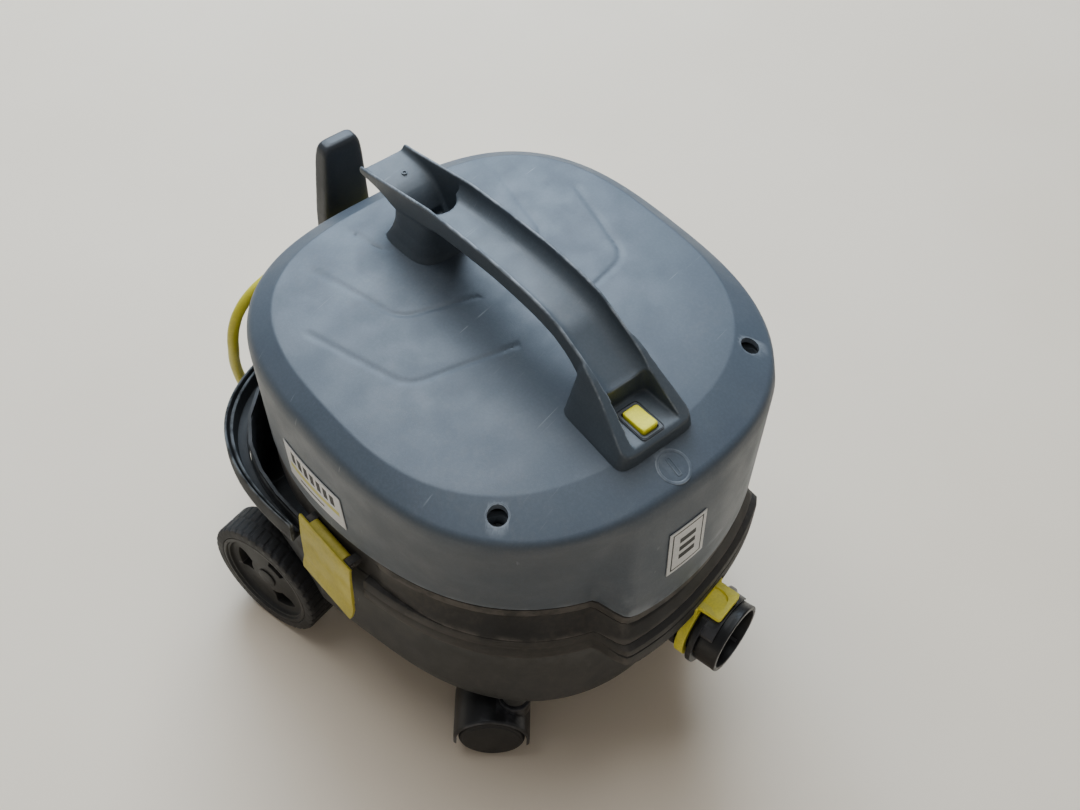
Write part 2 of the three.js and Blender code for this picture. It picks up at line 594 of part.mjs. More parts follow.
// ---------- mains cord ----------
// The stretch that isn't coiled: over the hook, down behind the rim and along the floor.
const CORD_ROUTE = [
  [72.2, 156.9, 229], [58.5, 159.8, 233], [44.8, 162.7, 236], [31.1, 165.6, 236.8], [17.5, 168.7, 236.3],
  [1.9, 172.4, 234.5], [-13.7, 176.2, 232], [-27.5, 179.6, 229.5], [-41, 182.5, 226], [-52.6, 185.5, 219],
  [-60.8, 187.7, 209.5], [-65.6, 189.3, 198], [-67.4, 190.8, 186], [-66.6, 193.5, 172], [-65, 197, 158],
  [-62.5, 199.5, 143], [-59, 200.5, 125], [-54.5, 201.5, 106], [-48.5, 203, 87], [-40.5, 205, 68.5],
  [-30, 207.5, 50.5], [-17, 210.5, 34], [-1, 213.5, 20], [17, 217, 10], [35, 221.5, 5.2], [50, 228, 4.3],
  [59.5, 237, 4.3], [62.7, 247, 4.3],
];
const COIL = { x: 140, y: 246, inner: 40, outer: 72.3, high: 40.6 };
const cordPath = new THREE.CatmullRomCurve3(CORD_ROUTE.map((p) => new THREE.Vector3(...p)));
const CORD_SIDES = 8;
const section = new THREE.Shape(Array.from({ length: CORD_SIDES }, (_, i) => {
  const angle = (2 * Math.PI * i) / CORD_SIDES;
  return new THREE.Vector2(CORD_R * Math.cos(angle), CORD_R * Math.sin(angle));
}));
add('power_cord', new THREE.ExtrudeGeometry(section, { steps: 60, extrudePath: cordPath }), yellow);
add('cord_coil', ringOf(COIL.inner, COIL.outer, 0.1, COIL.high, 32).translate(COIL.x, COIL.y, 0), yellow);

// The plug lies in the coil's eye, its pins pointing up.
const plug = group(COIL.x, COIL.y, 0, 0);
add('plug_body', lathe([[0, 0.2], [15, 0.2], [18, 4], [18, 26], [16, 31], [0, 31]], 24), black, plug);
for (const [name, side] of sides) {
  add(`plug_pin_${name}`, rod(2.4, 31 + GAP, 50, 12).translate(side * 9.5, 0, 0), steel, plug);
}

export default machine;
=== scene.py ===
"""Looks of the canister vacuum cleaner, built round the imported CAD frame.

Shapes are worked out in millimetres in the tub's frame (+Z up, hose inlet towards -Y), as in the CAD,
and turned into metres when a piece is made.
"""

import math

import bmesh
import bpy
from mathutils import Matrix, Vector


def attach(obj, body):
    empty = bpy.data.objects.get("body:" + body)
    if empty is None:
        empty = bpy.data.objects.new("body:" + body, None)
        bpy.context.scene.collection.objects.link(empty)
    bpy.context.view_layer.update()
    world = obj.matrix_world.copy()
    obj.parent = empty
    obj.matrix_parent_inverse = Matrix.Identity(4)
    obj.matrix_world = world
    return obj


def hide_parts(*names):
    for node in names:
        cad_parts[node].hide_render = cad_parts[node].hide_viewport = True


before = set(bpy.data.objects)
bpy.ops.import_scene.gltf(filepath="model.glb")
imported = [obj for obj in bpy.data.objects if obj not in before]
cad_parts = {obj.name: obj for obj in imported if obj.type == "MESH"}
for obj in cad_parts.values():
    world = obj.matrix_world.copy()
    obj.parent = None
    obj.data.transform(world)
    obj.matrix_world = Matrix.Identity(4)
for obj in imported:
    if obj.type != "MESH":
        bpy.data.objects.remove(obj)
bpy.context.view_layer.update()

# ---------- driving dimensions, as in the CAD (mm) ----------
GAP = 0.3
WALL = 3.0
ROUND = 288
HEAD_TURN = math.radians(-12)
ORIGIN_Y = 1.0

TUB = dict(half=135, front=147, rear=180, n_front=2.4, n_rear=3.0)
RIM = dict(half=142, front=149, rear=192, n_front=2.3, n_rear=3.4, nose=19.5, nose_half=80)
SKIRT = dict(half=139, front=146, rear=178, n_front=2.1, n_rear=2.05, nose=17, nose_half=76)
SHOULDER = dict(half=147, front=157, rear=152, n_front=2.6, n_rear=2.9, turn=HEAD_TURN)
PANEL = dict(half=131, front=124, rear=134, n_front=2.5, n_rear=3.0, turn=HEAD_TURN)
NOSE_STEP = 14

TUB_FLOOR_Z = 52
TUB_RIM_Z = 147
BASE_TOP_Z = 186
SKIRT_Z = 180
SKIRT_FRONT_DROP = 3.2
SKIRT_NOSE_DROP = 3.6
SHOULDER_Z = 275
PANEL_Z = 285.5

WHEEL = dict(x=143, y=109, radius=48, width=28, hub=39.7)
CASTER = dict(x=103, y=-90, trail=15, radius=23, hood=26.5)
CASTER_YAW = math.atan2(-0.602, -0.799)
INLET_Z = 102
LATCH = dict(x=137.4, y=36.4, z=163, half=28, knuckle=18, lug=24)
SCREW = dict(x=100, y=-107, seat=264)
SWITCH = dict(x=-1.5, y=-114.6, half_x=8, half_y=12, floor=295)
SIDES = (("left", -1), ("right", 1))

TO_ROW = Matrix.Scale(0.001, 4) @ Matrix.Translation((0, ORIGIN_Y, 0))
HEAD = Matrix.Rotation(HEAD_TURN, 4, "Z")


def placed(name, data):
    thing = bpy.data.objects.new(name, data)
    bpy.context.collection.objects.link(thing)
    return thing


# ---------- camera, floor and light ----------
CAMERA = dict(place=(-0.4686, -0.3483, 0.9186), forward=(0.5184, 0.3594, -0.7759), roll=3.56, lens=46.67)


def set_stage():
    forward = Vector(CAMERA["forward"]).normalized()
    roll = math.radians(CAMERA["roll"])
    level_right = forward.cross(Vector((0, 0, 1))).normalized()
    level_up = level_right.cross(forward)
    right = level_right * math.cos(roll) + level_up * math.sin(roll)
    up = level_up * math.cos(roll) - level_right * math.sin(roll)
    camera = placed("camera", bpy.data.cameras.new("camera"))
    camera.data.sensor_width = 36
    camera.data.lens = CAMERA["lens"]
    camera.data.clip_end = 30
    axes = Matrix((right, up, -forward)).transposed().to_4x4()
    camera.matrix_world = Matrix.Translation(CAMERA["place"]) @ axes
    bpy.context.scene.camera = camera

    floor = bpy.data.meshes.new("floor")
    far, drop = 6, 0.0004
    corners = [(-far, -far, -drop), (far, -far, -drop), (far, far, -drop), (-far, far, -drop)]
    floor.from_pydata(corners, [], [(0, 1, 2, 3)])
    floor.materials.append(floor_material())
    placed("floor", floor)

    world = bpy.data.worlds.new("world")
    world.use_nodes = True
    background = world.node_tree.nodes["Background"]
    background.inputs["Color"].default_value = (0.92, 0.91, 0.90, 1)
    background.inputs["Strength"].default_value = 0.27
    bpy.context.scene.world = world
    area_light("window", (1.5, 1.5, 1.8), (0.0, 0.0, 0.2), 1.8, 84, (0.62, 0.80, 1.0))
    area_light("ceiling", (0.5, 0.8, 2.4), (0, 0, 0.1), 2.4, 62, (0.90, 0.95, 1.0))
    area_light("room", (-1.9, -1.2, 1.1), (0, 0, 0.15), 1.4, 2.4, (1.0, 0.95, 0.88))


def area_light(name, place, target, size, power, color):
    light = bpy.data.lights.new(name, "AREA")
    light.shape = "SQUARE"
    light.size = size
    light.energy = power
    light.color = color
    lamp = placed(name, light)
    lamp.location = place
    lamp.rotation_euler = (Vector(target) - Vector(place)).to_track_quat("-Z", "Y").to_euler()


# ---------- materials ----------
class Nodes:
    """A short hand for one material's node tree."""

    def __init__(self, name):
        self.material = bpy.data.materials.new(name)
        self.material.use_nodes = True
        self.tree = self.material.node_tree
        self.shader = self.tree.nodes["Principled BSDF"]
        coordinates = self.tree.nodes.new("ShaderNodeTexCoord")
        self.place = coordinates.outputs["Object"]

    def put(self, socket, value):
        if isinstance(value, (int, float)):
            socket.default_value = value
        elif isinstance(value, tuple):
            socket.default_value = value if len(value) == len(socket.default_value) else (*value, 1)
        else:
            self.tree.links.new(value, socket)

    def add(self, kind, inputs, **settings):
        """A new node with its settings made and its inputs filled or linked."""
        node = self.tree.nodes.new("ShaderNode" + kind)
        for name, value in settings.items():
            setattr(node, name, value)
        for name, value in inputs.items():
            self.put(node.inputs[name], value)
        return node.outputs

    def stretched(self, scale, turn=(0, 0, 0)):
        return self.add("Mapping", {"Scale": scale, "Rotation": turn, "Vector": self.place})["Vector"]

    def noise(self, scale, detail=3.0, roughness=0.55, distortion=0.0, where=None):
        inputs = {"Scale": scale, "Detail": detail, "Roughness": roughness, "Distortion": distortion}
        return self.add("TexNoise", inputs | {"Vector": where or self.place})["Fac"]

    def cells(self, scale):
        return self.add("TexVoronoi", {"Scale": scale, "Vector": self.place}, feature="F1")["Distance"]

    def ramp(self, value, low, high, start=0.0, end=1.0):
        inputs = {"Value": value, "From Min": low, "From Max": high, "To Min": start, "To Max": end}
        return self.add("MapRange", inputs, interpolation_type="SMOOTHSTEP")["Result"]

    def math(self, kind, a, b=0.0):
        return self.add("Math", {0: a, 1: b}, operation=kind)[0]

    def blend(self, share, a, b, kind="MIX"):
        inputs = {"Factor": share, "A": a, "B": b}
        return self.add("Mix", inputs, data_type="RGBA", blend_type=kind)["Result"]

    def edge(self):
        return self.add("NewGeometry", {})["Pointiness"]

    def bump(self, height, distance, strength=1.0, base=None):
        inputs = {"Distance": distance, "Strength": strength, "Height": height}
        return self.add("Bump", inputs if base is None else inputs | {"Normal": base})["Normal"]

    def finished(self, inputs):
        for name, value in inputs.items():
            self.put(self.shader.inputs[name], value)
        return self.material


def scratch_mask(nodes, density):
    """Thin straight-ish scratches in three directions, broken up by a slow noise."""
    lines = None
    for k, (turn, along) in enumerate(((0.5, 11), (1.7, 8), (2.6, 14))):
        where = nodes.stretched((along, 420, 60), (0.2 * k, 0.1, turn))
        line = nodes.ramp(nodes.noise(1.0, 1.5, 0.4, 0.25, where), 0.80 - density, 0.86 - density)
        gate = nodes.ramp(nodes.noise(26 + 9 * k, 2.0), 0.5, 0.62)
        line = nodes.math("MULTIPLY", line, gate)
        lines = line if lines is None else nodes.math("MAXIMUM", lines, line)
    return lines


def moulded(name, color, rough, grain=0.00006, grain_scale=1500, dust=0.0, dust_color=(0.30, 0.27, 0.23),
            scratches=0.0, scratch_color=(0.45, 0.48, 0.50), wear=0.0, mottling=0.12):
    """Moulded plastic: fine grain, slow colour drift, and dust, scratches and edge wear where given."""
    nodes = Nodes(name)
    drift = nodes.noise(9, 4)
    dark = tuple(c * (1 - mottling) for c in color)
    light = tuple(c * (1 + mottling) for c in color)
    tone = nodes.blend(nodes.ramp(drift, 0.3, 0.7), dark, light)
    speckle = nodes.ramp(nodes.noise(620, 2), 0.35, 0.75, 0.94, 1.07)
    tone = nodes.blend(1.0, tone, speckle, "MULTIPLY")
    roughness = nodes.ramp(nodes.noise(38, 4), 0.3, 0.7, rough - 0.06, rough + 0.07)
    height = nodes.noise(grain_scale, 2, 0.6)
    normal = nodes.bump(height, grain)
    if dust:
        patches = nodes.ramp(nodes.noise(14, 6, 0.65), 0.42, 0.72)
        fine = nodes.ramp(nodes.noise(240, 3), 0.4, 0.7, 0.3, 1.0)
        share = nodes.math("MULTIPLY", nodes.math("MULTIPLY", patches, fine), dust)
        tone = nodes.blend(share, tone, dust_color)
        roughness = nodes.math("ADD", roughness, nodes.math("MULTIPLY", share, 0.25))
    if scratches:
        lines = scratch_mask(nodes, 0.06)
        tone = nodes.blend(nodes.math("MULTIPLY", lines, scratches), tone, scratch_color)
        deep = nodes.math("SUBTRACT", 1.0, lines)
        normal = nodes.bump(deep, 0.00004, 0.6, normal)
        nicks = nodes.ramp(nodes.cells(70), 0.035, 0.02)
        nicks = nodes.math("MULTIPLY", nicks, nodes.ramp(nodes.noise(17, 2), 0.55, 0.6))
        tone = nodes.blend(nodes.math("MULTIPLY", nicks, 0.8 * scratches), tone, scratch_color)
    if wear:
        rub = nodes.ramp(nodes.edge(), 0.515, 0.56)
        rub = nodes.math("MULTIPLY", rub, nodes.ramp(nodes.noise(60, 4), 0.35, 0.6))
        tone = nodes.blend(nodes.math("MULTIPLY", rub, wear), tone, scratch_color)
    return nodes.finished({"Base Color": tone, "Roughness": roughness, "Normal": normal})


def metal(name, color, rough):
    nodes = Nodes(name)
    streak = nodes.noise(1.0, 3, 0.6, 0, nodes.stretched((900, 900, 40)))
    tone = nodes.blend(nodes.ramp(streak, 0.3, 0.7), tuple(c * 0.85 for c in color), color)
    roughness = nodes.ramp(nodes.noise(90, 3), 0.3, 0.7, rough - 0.06, rough + 0.1)
    normal = nodes.bump(streak, 0.00002)
    return nodes.finished({"Base Color": tone, "Roughness": roughness, "Normal": normal, "Metallic": 1.0})


def fleece(name):
    nodes = Nodes(name)
    fibres = nodes.noise(900, 5, 0.7, 1.5)
    tone = nodes.blend(nodes.ramp(fibres, 0.3, 0.7), (0.52, 0.50, 0.46), (0.74, 0.73, 0.69))
    stain = nodes.ramp(nodes.noise(18, 4), 0.5, 0.75)
    tone = nodes.blend(nodes.math("MULTIPLY", stain, 0.45), tone, (0.38, 0.34, 0.29))
    normal = nodes.bump(fibres, 0.0004, 0.8)
    return nodes.finished({"Base Color": tone, "Roughness": 0.95, "Normal": normal, "Sheen Weight": 0.3})


def floor_material():
    nodes = Nodes("pale_floor")
    tone = nodes.blend(nodes.ramp(nodes.noise(3, 4), 0.3, 0.7), (0.84, 0.71, 0.55), (0.88, 0.75, 0.59))
    return nodes.finished({"Base Color": tone, "Roughness": 0.62})


LID_GREY = moulded("lid_grey", (0.066, 0.085, 0.108), 0.47, scratches=0.4, wear=0.5, dust=0.08,
                   scratch_color=(0.30, 0.33, 0.36), mottling=0.07)
HANDLE_GREY = moulded("handle_grey", (0.066, 0.082, 0.098), 0.45, scratches=0.25, wear=0.9, dust=0.08,
                      scratch_color=(0.26, 0.28, 0.30))
TUB_GREY = moulded("tub_grey", (0.029, 0.030, 0.030), 0.55, dust=0.35, dust_color=(0.10, 0.095, 0.088),
                   scratches=0.35, scratch_color=(0.16, 0.165, 0.17), wear=0.35)
BUMPER = moulded("bumper_brown_black", (0.024, 0.0225, 0.021), 0.62, dust=0.75, dust_color=(0.085, 0.072, 0.06),
                 scratches=0.5, scratch_color=(0.13, 0.115, 0.10), wear=0.6, mottling=0.3)
LIPS_GREY = moulded("lip_grey", (0.010, 0.011, 0.0125), 0.68, dust=0.3,
                    dust_color=(0.09, 0.085, 0.08), wear=0.5)
BLACK = moulded("smooth_black", (0.0055, 0.006, 0.008), 0.36, grain=0.00002, dust=0.16,
                dust_color=(0.07, 0.065, 0.06), wear=0.5, scratch_color=(0.10, 0.10, 0.11))
DARK_HOOK = moulded("hook_dark", (0.033, 0.038, 0.045), 0.5, dust=0.2, dust_color=(0.09, 0.09, 0.09), wear=0.4,
                    scratch_color=(0.12, 0.13, 0.14))
YELLOW = moulded("yellow_plastic", (0.96, 0.84, 0.06), 0.45, grain=0.00002, dust=0.35,
                 dust_color=(0.16, 0.13, 0.05), wear=0.25, scratch_color=(0.70, 0.64, 0.2), mottling=0.08)
LATCH_YELLOW = moulded("latch_yellow", (0.56, 0.46, 0.035), 0.5, grain=0.00003, dust=0.6,
                       dust_color=(0.12, 0.095, 0.04), wear=0.3, scratch_color=(0.62, 0.56, 0.15),
                       mottling=0.12)
ROCKER_YELLOW = moulded("rocker_yellow", (0.97, 0.88, 0.025), 0.5, grain=0.00001, dust=0.06,
                        dust_color=(0.2, 0.17, 0.05), mottling=0.03)
RUBBER = moulded("rubber_black", (0.008, 0.008, 0.009), 0.66, dust=0.4,
                 dust_color=(0.045, 0.04, 0.035), wear=0.3, scratch_color=(0.09, 0.085, 0.08))
CORD_YELLOW = moulded("cord_yellow", (0.62, 0.55, 0.03), 0.42, grain=0.00003, dust=0.2,
                      dust_color=(0.2, 0.17, 0.06), mottling=0.06)
HUB_GREY = moulded("hub_grey", (0.013, 0.0125, 0.012), 0.55, dust=0.3, dust_color=(0.04, 0.036, 0.03), wear=0.4,
                   scratch_color=(0.13, 0.12, 0.11))
CASTER_RUBBER = moulded("caster_rubber", (0.010, 0.010, 0.011), 0.55, dust=0.5, dust_color=(0.07, 0.063, 0.055),
                        wear=0.4, scratch_color=(0.10, 0.095, 0.09))
LABEL_WHITE = moulded("label_white", (0.62, 0.62, 0.61), 0.35, grain=0.00001, dust=0.2,
                      dust_color=(0.35, 0.34, 0.32), mottling=0.03)
LABEL_INK = moulded("label_ink", (0.006, 0.006, 0.007), 0.6, grain=0.00001, mottling=0.05)
LABEL_STRIPE = moulded("label_stripe", (0.55, 0.50, 0.05), 0.35, grain=0.00001, mottling=0.05)
STEEL = metal("bright_steel", (0.55, 0.55, 0.54), 0.3)
ALLOY = metal("pressed_alloy", (0.62, 0.62, 0.62), 0.38)
FLEECE = fleece("filter_fleece")

set_stage()


# ---------- mesh helpers: every shape is (points, faces) in millimetres ----------
def mix(a, b, t):
    return a + (b - a) * t


def smooth(t):
    k = min(1.0, max(0.0, t))
    return k * k * (3 - 2 * k)


def merged(*shapes):
    points, faces = [], []
    for more_points, more_faces in shapes:
        first = len(points)
        points += more_points
        faces += [tuple(i + first for i in face) for face in more_faces]
    return points, faces


def circle(radius, count, x=0.0, y=0.0):
    turns = [2 * math.pi * i / count for i in range(count)]
    return [(x + radius * math.cos(a), y + radius * math.sin(a)) for a in turns]


def moved(shape, matrix):
    return [tuple(matrix @ Vector(p)) for p in shape[0]], shape[1]


def shifted(shape, x, y, z):
    return moved(shape, Matrix.Translation((x, y, z)))


def skin(rows, loop=False):
    """Quads between rows of points; a loop joins the last row to the first, otherwise the ends are filled."""
    count = len(rows[0])
    points = [p for row in rows for p in row]
    faces = []
    for k in range(len(rows) if loop else len(rows) - 1):
        a, b = k * count, (k + 1) % len(rows) * count
        faces += [(a + i, a + (i + 1) % count, b + (i + 1) % count, b + i) for i in range(count)]
    if not loop:
        for start, flip in ((0, True), ((len(rows) - 1) * count, False)):
            row = [Vector(p) for p in points[start:start + count]]
            points.append(tuple(sum(row, Vector()) / count))
            hub = len(points) - 1
            for i in range(count):
                a, b = start + i, start + (i + 1) % count
                faces.append((b, a, hub) if flip else (a, b, hub))
    return points, faces


def bend(corner, before, after, size, steps, limit, least=0.0):
    """Points of a curve that cuts a corner, at most a limited share of either side away from it."""
    p, to_a, to_b = Vector(corner), Vector(before) - Vector(corner), Vector(after) - Vector(corner)
    size = min(size, limit * to_a.length, limit * to_b.length)
    if size < least:
        return [tuple(corner)]
    start, end = p + to_a.normalized() * size, p + to_b.normalized() * size
    shares = [k / steps for k in range(steps + 1)]
    return [tuple(start * (1 - t) ** 2 + p * 2 * t * (1 - t) + end * t * t) for t in shares]


def fillet(outline, radius, steps=4, closed=True):
    """Rounds an outline's corners; radius is one number or one for each corner."""
    count = len(outline)
    radii = radius if isinstance(radius, (list, tuple)) else [radius] * count
    out = []
    for i, corner in enumerate(outline):
        if not closed and i in (0, count - 1):
            out.append(tuple(corner))
            continue
        out += bend(corner, outline[i - 1], outline[(i + 1) % count], radii[i], steps, 0.45, 0.02)
    return out


def turned_profile(profile, segments=96, closed=True):
    """A lathe about Z of (radius, height) points; an open profile starts and ends on the axis."""
    kept_points = profile if closed else profile[1:-1]
    return skin([[(x, y, h) for x, y in circle(r, segments)] for r, h in kept_points], loop=closed)


def ring_shape(inner, outer, low, high, corner=0.6, segments=96):
    return turned_profile(fillet([(inner, low), (outer, low), (outer, high), (inner, high)], corner), segments)


def rod_shape(radius, low, high, corner=0.5, segments=48):
    outline = [(0, low), (radius, low), (radius, high), (0, high)]
    return turned_profile(fillet(outline, corner, closed=False), segments, closed=False)


def box_shape(lo, hi):
    points = [(x, y, z) for z in (lo[2], hi[2]) for y in (lo[1], hi[1]) for x in (lo[0], hi[0])]
    faces = [(0, 2, 3, 1), (4, 5, 7, 6), (0, 1, 5, 4), (2, 6, 7, 3), (0, 4, 6, 2), (1, 3, 7, 5)]
    return points, faces


def half_circle(radius, y, steps):
    """Points round the -Y half of a circle centred on x = 0."""
    turns = [math.pi + math.pi * i / steps for i in range(steps + 1)]
    return [(radius * math.cos(a), y + radius * math.sin(a)) for a in turns]


def upright(outline, low, high):
    """An outline of (x, y) points given height."""
    return skin([[(x, y, z) for x, y in outline] for z in (low, high)])


def slab(outline, low, high, along_x=True):
    """An outline of (y, z) points given thickness along X, or of (x, z) points along Y."""
    count = len(outline)
    points = [(t, a, z) if along_x else (a, t, z) for t in (low, high) for a, z in outline]
    faces = [(i, (i + 1) % count, count + (i + 1) % count, count + i) for i in range(count)]
    faces += [tuple(range(count))[::-1], tuple(range(count, 2 * count))]
    return points, faces


ALONG_X = Matrix.Rotation(math.pi / 2, 4, "Y")
ALONG_Y = Matrix.Rotation(-math.pi / 2, 4, "X")
ALONG_FRONT = Matrix.Rotation(math.pi / 2, 4, "X")
INLET = Matrix.Translation((0, 0, INLET_Z)) @ ALONG_FRONT


# ---------- outlines ----------
def nose_share(outline, angle, r):
    if not outline.get("nose") or math.sin(angle) >= 0:
        return 0.0
    return smooth((outline["nose_half"] - abs(r * math.cos(angle))) / NOSE_STEP)


def reach(outline, angle):
    local = angle - outline.get("turn", 0)
    c, s = math.cos(local), math.sin(local)
    n = outline["n_front"] if s < 0 else outline["n_rear"]
    depth = outline["front"] if s < 0 else outline["rear"]
    r = (abs(c / outline["half"]) ** n + abs(s / depth) ** n) ** (-1 / n)
    return r + outline.get("nose", 0) * nose_share(outline, angle, r) / max(0.5, abs(s))


def side_reach(angle, z):
    share = min(1.0, max(0.0, (z - SKIRT_Z) / (SHOULDER_Z - SKIRT_Z)))
    return mix(reach(SKIRT, angle), reach(SHOULDER, angle), share)


ANGLES = [2 * math.pi * i / ROUND for i in range(ROUND)]


def row(radius_at, height_at):
    out = []
    for angle in ANGLES:
        r = radius_at(angle)
        z = height_at(angle) if callable(height_at) else height_at
        out.append((r * math.cos(angle), r * math.sin(angle), z))
    return out


def level(outline, inset, z):
    return row(lambda angle: reach(outline, angle) - inset, z)


# ---------- making pieces ----------
def raw_object(name, shape):
    points, faces = shape
    mesh = bpy.data.meshes.new(name)
    mesh.from_pydata([tuple(p) for p in points], [], faces)
    mesh.validate()
    face_outward(mesh)
    return placed(name, mesh)


def face_outward(mesh):
    bm = bmesh.new()
    bm.from_mesh(mesh)
    bmesh.ops.remove_doubles(bm, verts=bm.verts, dist=1e-5)
    bmesh.ops.recalc_face_normals(bm, faces=bm.faces)
    bm.to_mesh(mesh)
    bm.free()


def applied(thing):
    graph = bpy.context.evaluated_depsgraph_get()
    mesh = bpy.data.meshes.new_from_object(thing.evaluated_get(graph))
    thing.modifiers.clear()
    thing.data = mesh
    return thing


def modified(thing, kind, **settings):
    modifier = thing.modifiers.new(kind.lower(), kind)
    for name, value in settings.items():
        setattr(modifier, name, value)
    return applied(thing)


def combine(thing, operation, *cutters):
    for cutter in cutters:
        tool = cutter if isinstance(cutter, bpy.types.Object) else raw_object("tool", cutter)
        modified(thing, "BOOLEAN", operation=operation, solver="EXACT", object=tool)
        bpy.data.objects.remove(tool)
    return thing


def bevelled(thing, width, segments=2, angle=40):
    return modified(thing, "BEVEL", width=width, segments=segments, limit_method="ANGLE",
                    angle_limit=math.radians(angle))


def remeshed(thing, voxel, rounds=3):
    """Voxels close the shape, and a few rounds of smoothing take their steps off its edges."""
    modified(thing, "REMESH", mode="VOXEL", voxel_size=voxel)
    return modified(thing, "SMOOTH", factor=0.5, iterations=rounds)


def piece(name, shape, material, body, slot, *nodes, turn=False, sharp=38):
    """Makes a finished piece from a shape or from a modelled object, still in millimetres."""
    thing = shape if isinstance(shape, bpy.types.Object) else raw_object(name, shape)
    thing.name = name
    thing.data.name = name
    thing.data.transform(TO_ROW @ HEAD if turn else TO_ROW)
    thing.data.materials.clear()
    thing.data.materials.append(material)
    thing.data.shade_smooth()
    thing.data.set_sharp_from_angle(angle=math.radians(sharp))
    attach(thing, body)
    if nodes:
        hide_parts(*nodes)
    return thing


def kept(material, *nodes):
    """CAD nodes whose shape is right stay, with a finished material."""
    for name in nodes:
        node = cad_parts[name]
        node.material_slots[0].link = "OBJECT"
        node.material_slots[0].material = material


# ---------- mains cord: over the hook, down behind the rim, then coiled on the floor ----------
CORD_R = 4.0
CORD_ROUTE = [
    (72.2, 156.9, 229), (58.5, 159.8, 233), (44.8, 162.7, 236), (31.1, 165.6, 236.8), (17.5, 168.7, 236.3),
    (1.9, 172.4, 234.5), (-13.7, 176.2, 232), (-27.5, 179.6, 229.5), (-41, 182.5, 226), (-52.6, 185.5, 219),
    (-60.8, 187.7, 209.5), (-65.6, 189.3, 198), (-67.4, 190.8, 186), (-66.6, 193.5, 172), (-65, 197, 158),
    (-62.5, 199.5, 143), (-59, 200.5, 125), (-54.5, 201.5, 106), (-48.5, 203, 87), (-40.5, 205, 68.5),
    (-30, 207.5, 50.5), (-17, 210.5, 34), (-1, 213.5, 20), (17, 217, 10), (35, 221.5, 5.2), (50, 228, 4.3),
    (59.5, 237, 4.3), (62.7, 247, 4.3),
]
COIL = dict(x=140, y=246, outer=68, turns=4, layers=5, pitch=8, floor=4.3)
COIL_STEP = 1 / 3  # the share of each turn in which the cord moves over or up
PLUG_CURL = 32


def coil_points(per_turn=24):
    """Clockwise turns from the outside in, then out again on the next layer, a diameter apart."""
    points = []
    pitch, turns = COIL["pitch"], COIL["turns"]
    for layer in range(COIL["layers"]):
        for k in range(turns * per_turn):
            turn, share = divmod(k / per_turn, 1)
            step = smooth((share - 1 + COIL_STEP) / COIL_STEP)
            over = min(turn + step, turns - 1)
            last = turn == turns - 1 and layer < COIL["layers"] - 1
            inward = layer % 2 == 0
            r = COIL["outer"] - pitch * (over if inward else turns - 1 - over)
            bulge = 3 * math.sin(math.pi * step) if last else 0
            r += -bulge if inward else bulge
            if layer == 0 and turn == 0:
                r += 9.3 * (1 - smooth(share / 0.22))
            z = COIL["floor"] + pitch * (layer + (step if last else 0))
            angle = math.pi - 2 * math.pi * (k / per_turn + layer * turns)
            points.append((COIL["x"] + r * math.cos(angle), COIL["y"] + r * math.sin(angle), z))
    inner = COIL["outer"] - pitch * (turns - 1)
    top = COIL["floor"] + pitch * (COIL["layers"] - 1)
    for k in range(0, 13):
        angle = math.pi - math.pi * k / 12
        x = -(inner - PLUG_CURL) + PLUG_CURL * math.cos(angle)
        z = mix(top, 20, smooth(k / 12))
        points.append((COIL["x"] + x, COIL["y"] + PLUG_CURL * math.sin(angle), z))
    return points


def to_metres(point):
    return tuple(TO_ROW @ Vector(point))


def mains_cord():
    route = CORD_ROUTE[:-1] + coil_points()
    curve = bpy.data.curves.new("mains_cord", "CURVE")
    curve.dimensions = "3D"
    curve.bevel_depth = CORD_R / 1000
    curve.bevel_resolution = 4
    curve.use_fill_caps = True
    spline = curve.splines.new("BEZIER")
    spline.bezier_points.add(len(route) - 1)
    spline.resolution_u = 6
    for knot, point in zip(spline.bezier_points, route):
        knot.co = to_metres(point)
        knot.handle_left_type = "AUTO"
        knot.handle_right_type = "AUTO"
    cord = placed("mains_cord", curve)
    curve.materials.append(CORD_YELLOW)
    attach(cord, "lid")
    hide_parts("power_cord", "cord_coil")
    return cord, route


def plug_shell():
    outline = [(0, 0.2), (14.5, 0.2), (18, 4.5), (18, 10), (16.8, 12), (16.8, 20), (18, 22), (18, 26),
               (15.6, 31), (6, 31), (5, 30), (0, 30)]
    corner = [0, 1, 3, 1, 1, 1, 1, 1, 1.5, 0.5, 0.5, 0]
    body = turned_profile(fillet(outline, corner, closed=False), 72, closed=False)
    notches = [shifted(rod_shape(1.6, -1, 40, 0.3, 16), 18.6 * math.cos(a), 18.6 * math.sin(a), 0)
               for a in (math.radians(20 * k) for k in range(3, 16))]
    thing = combine(raw_object("mains_plug", body), "DIFFERENCE", *notches)
    thing.data.transform(Matrix.Translation((COIL["x"], COIL["y"], 0)))
    return bevelled(thing, 0.3, 1)


def tapered_sleeve(path, radii, sides=32):
    """A ribbed tube round a path; the radii are given at each point."""
    rows = []
    for k, point in enumerate(path):
        here = Vector(point)
        ahead = Vector(path[min(k + 1, len(path) - 1)]) - Vector(path[max(k - 1, 0)])
        turn = ahead.to_track_quat("Z", "Y").to_matrix()
        rows.append([tuple(here + turn @ Vector((x, y, 0))) for x, y in circle(radii[k], sides)])
    return skin(rows)


def resampled(path, step):
    """Points a fixed step apart along a polyline."""
    out = [Vector(path[0])]
    left = step
    for a, b in zip(path, path[1:]):
        a, b = Vector(a), Vector(b)
        long = (b - a).length
        at = left
        while at <= long:
            out.append(a.lerp(b, at / long))
            at += step
        left = at - long
    return out


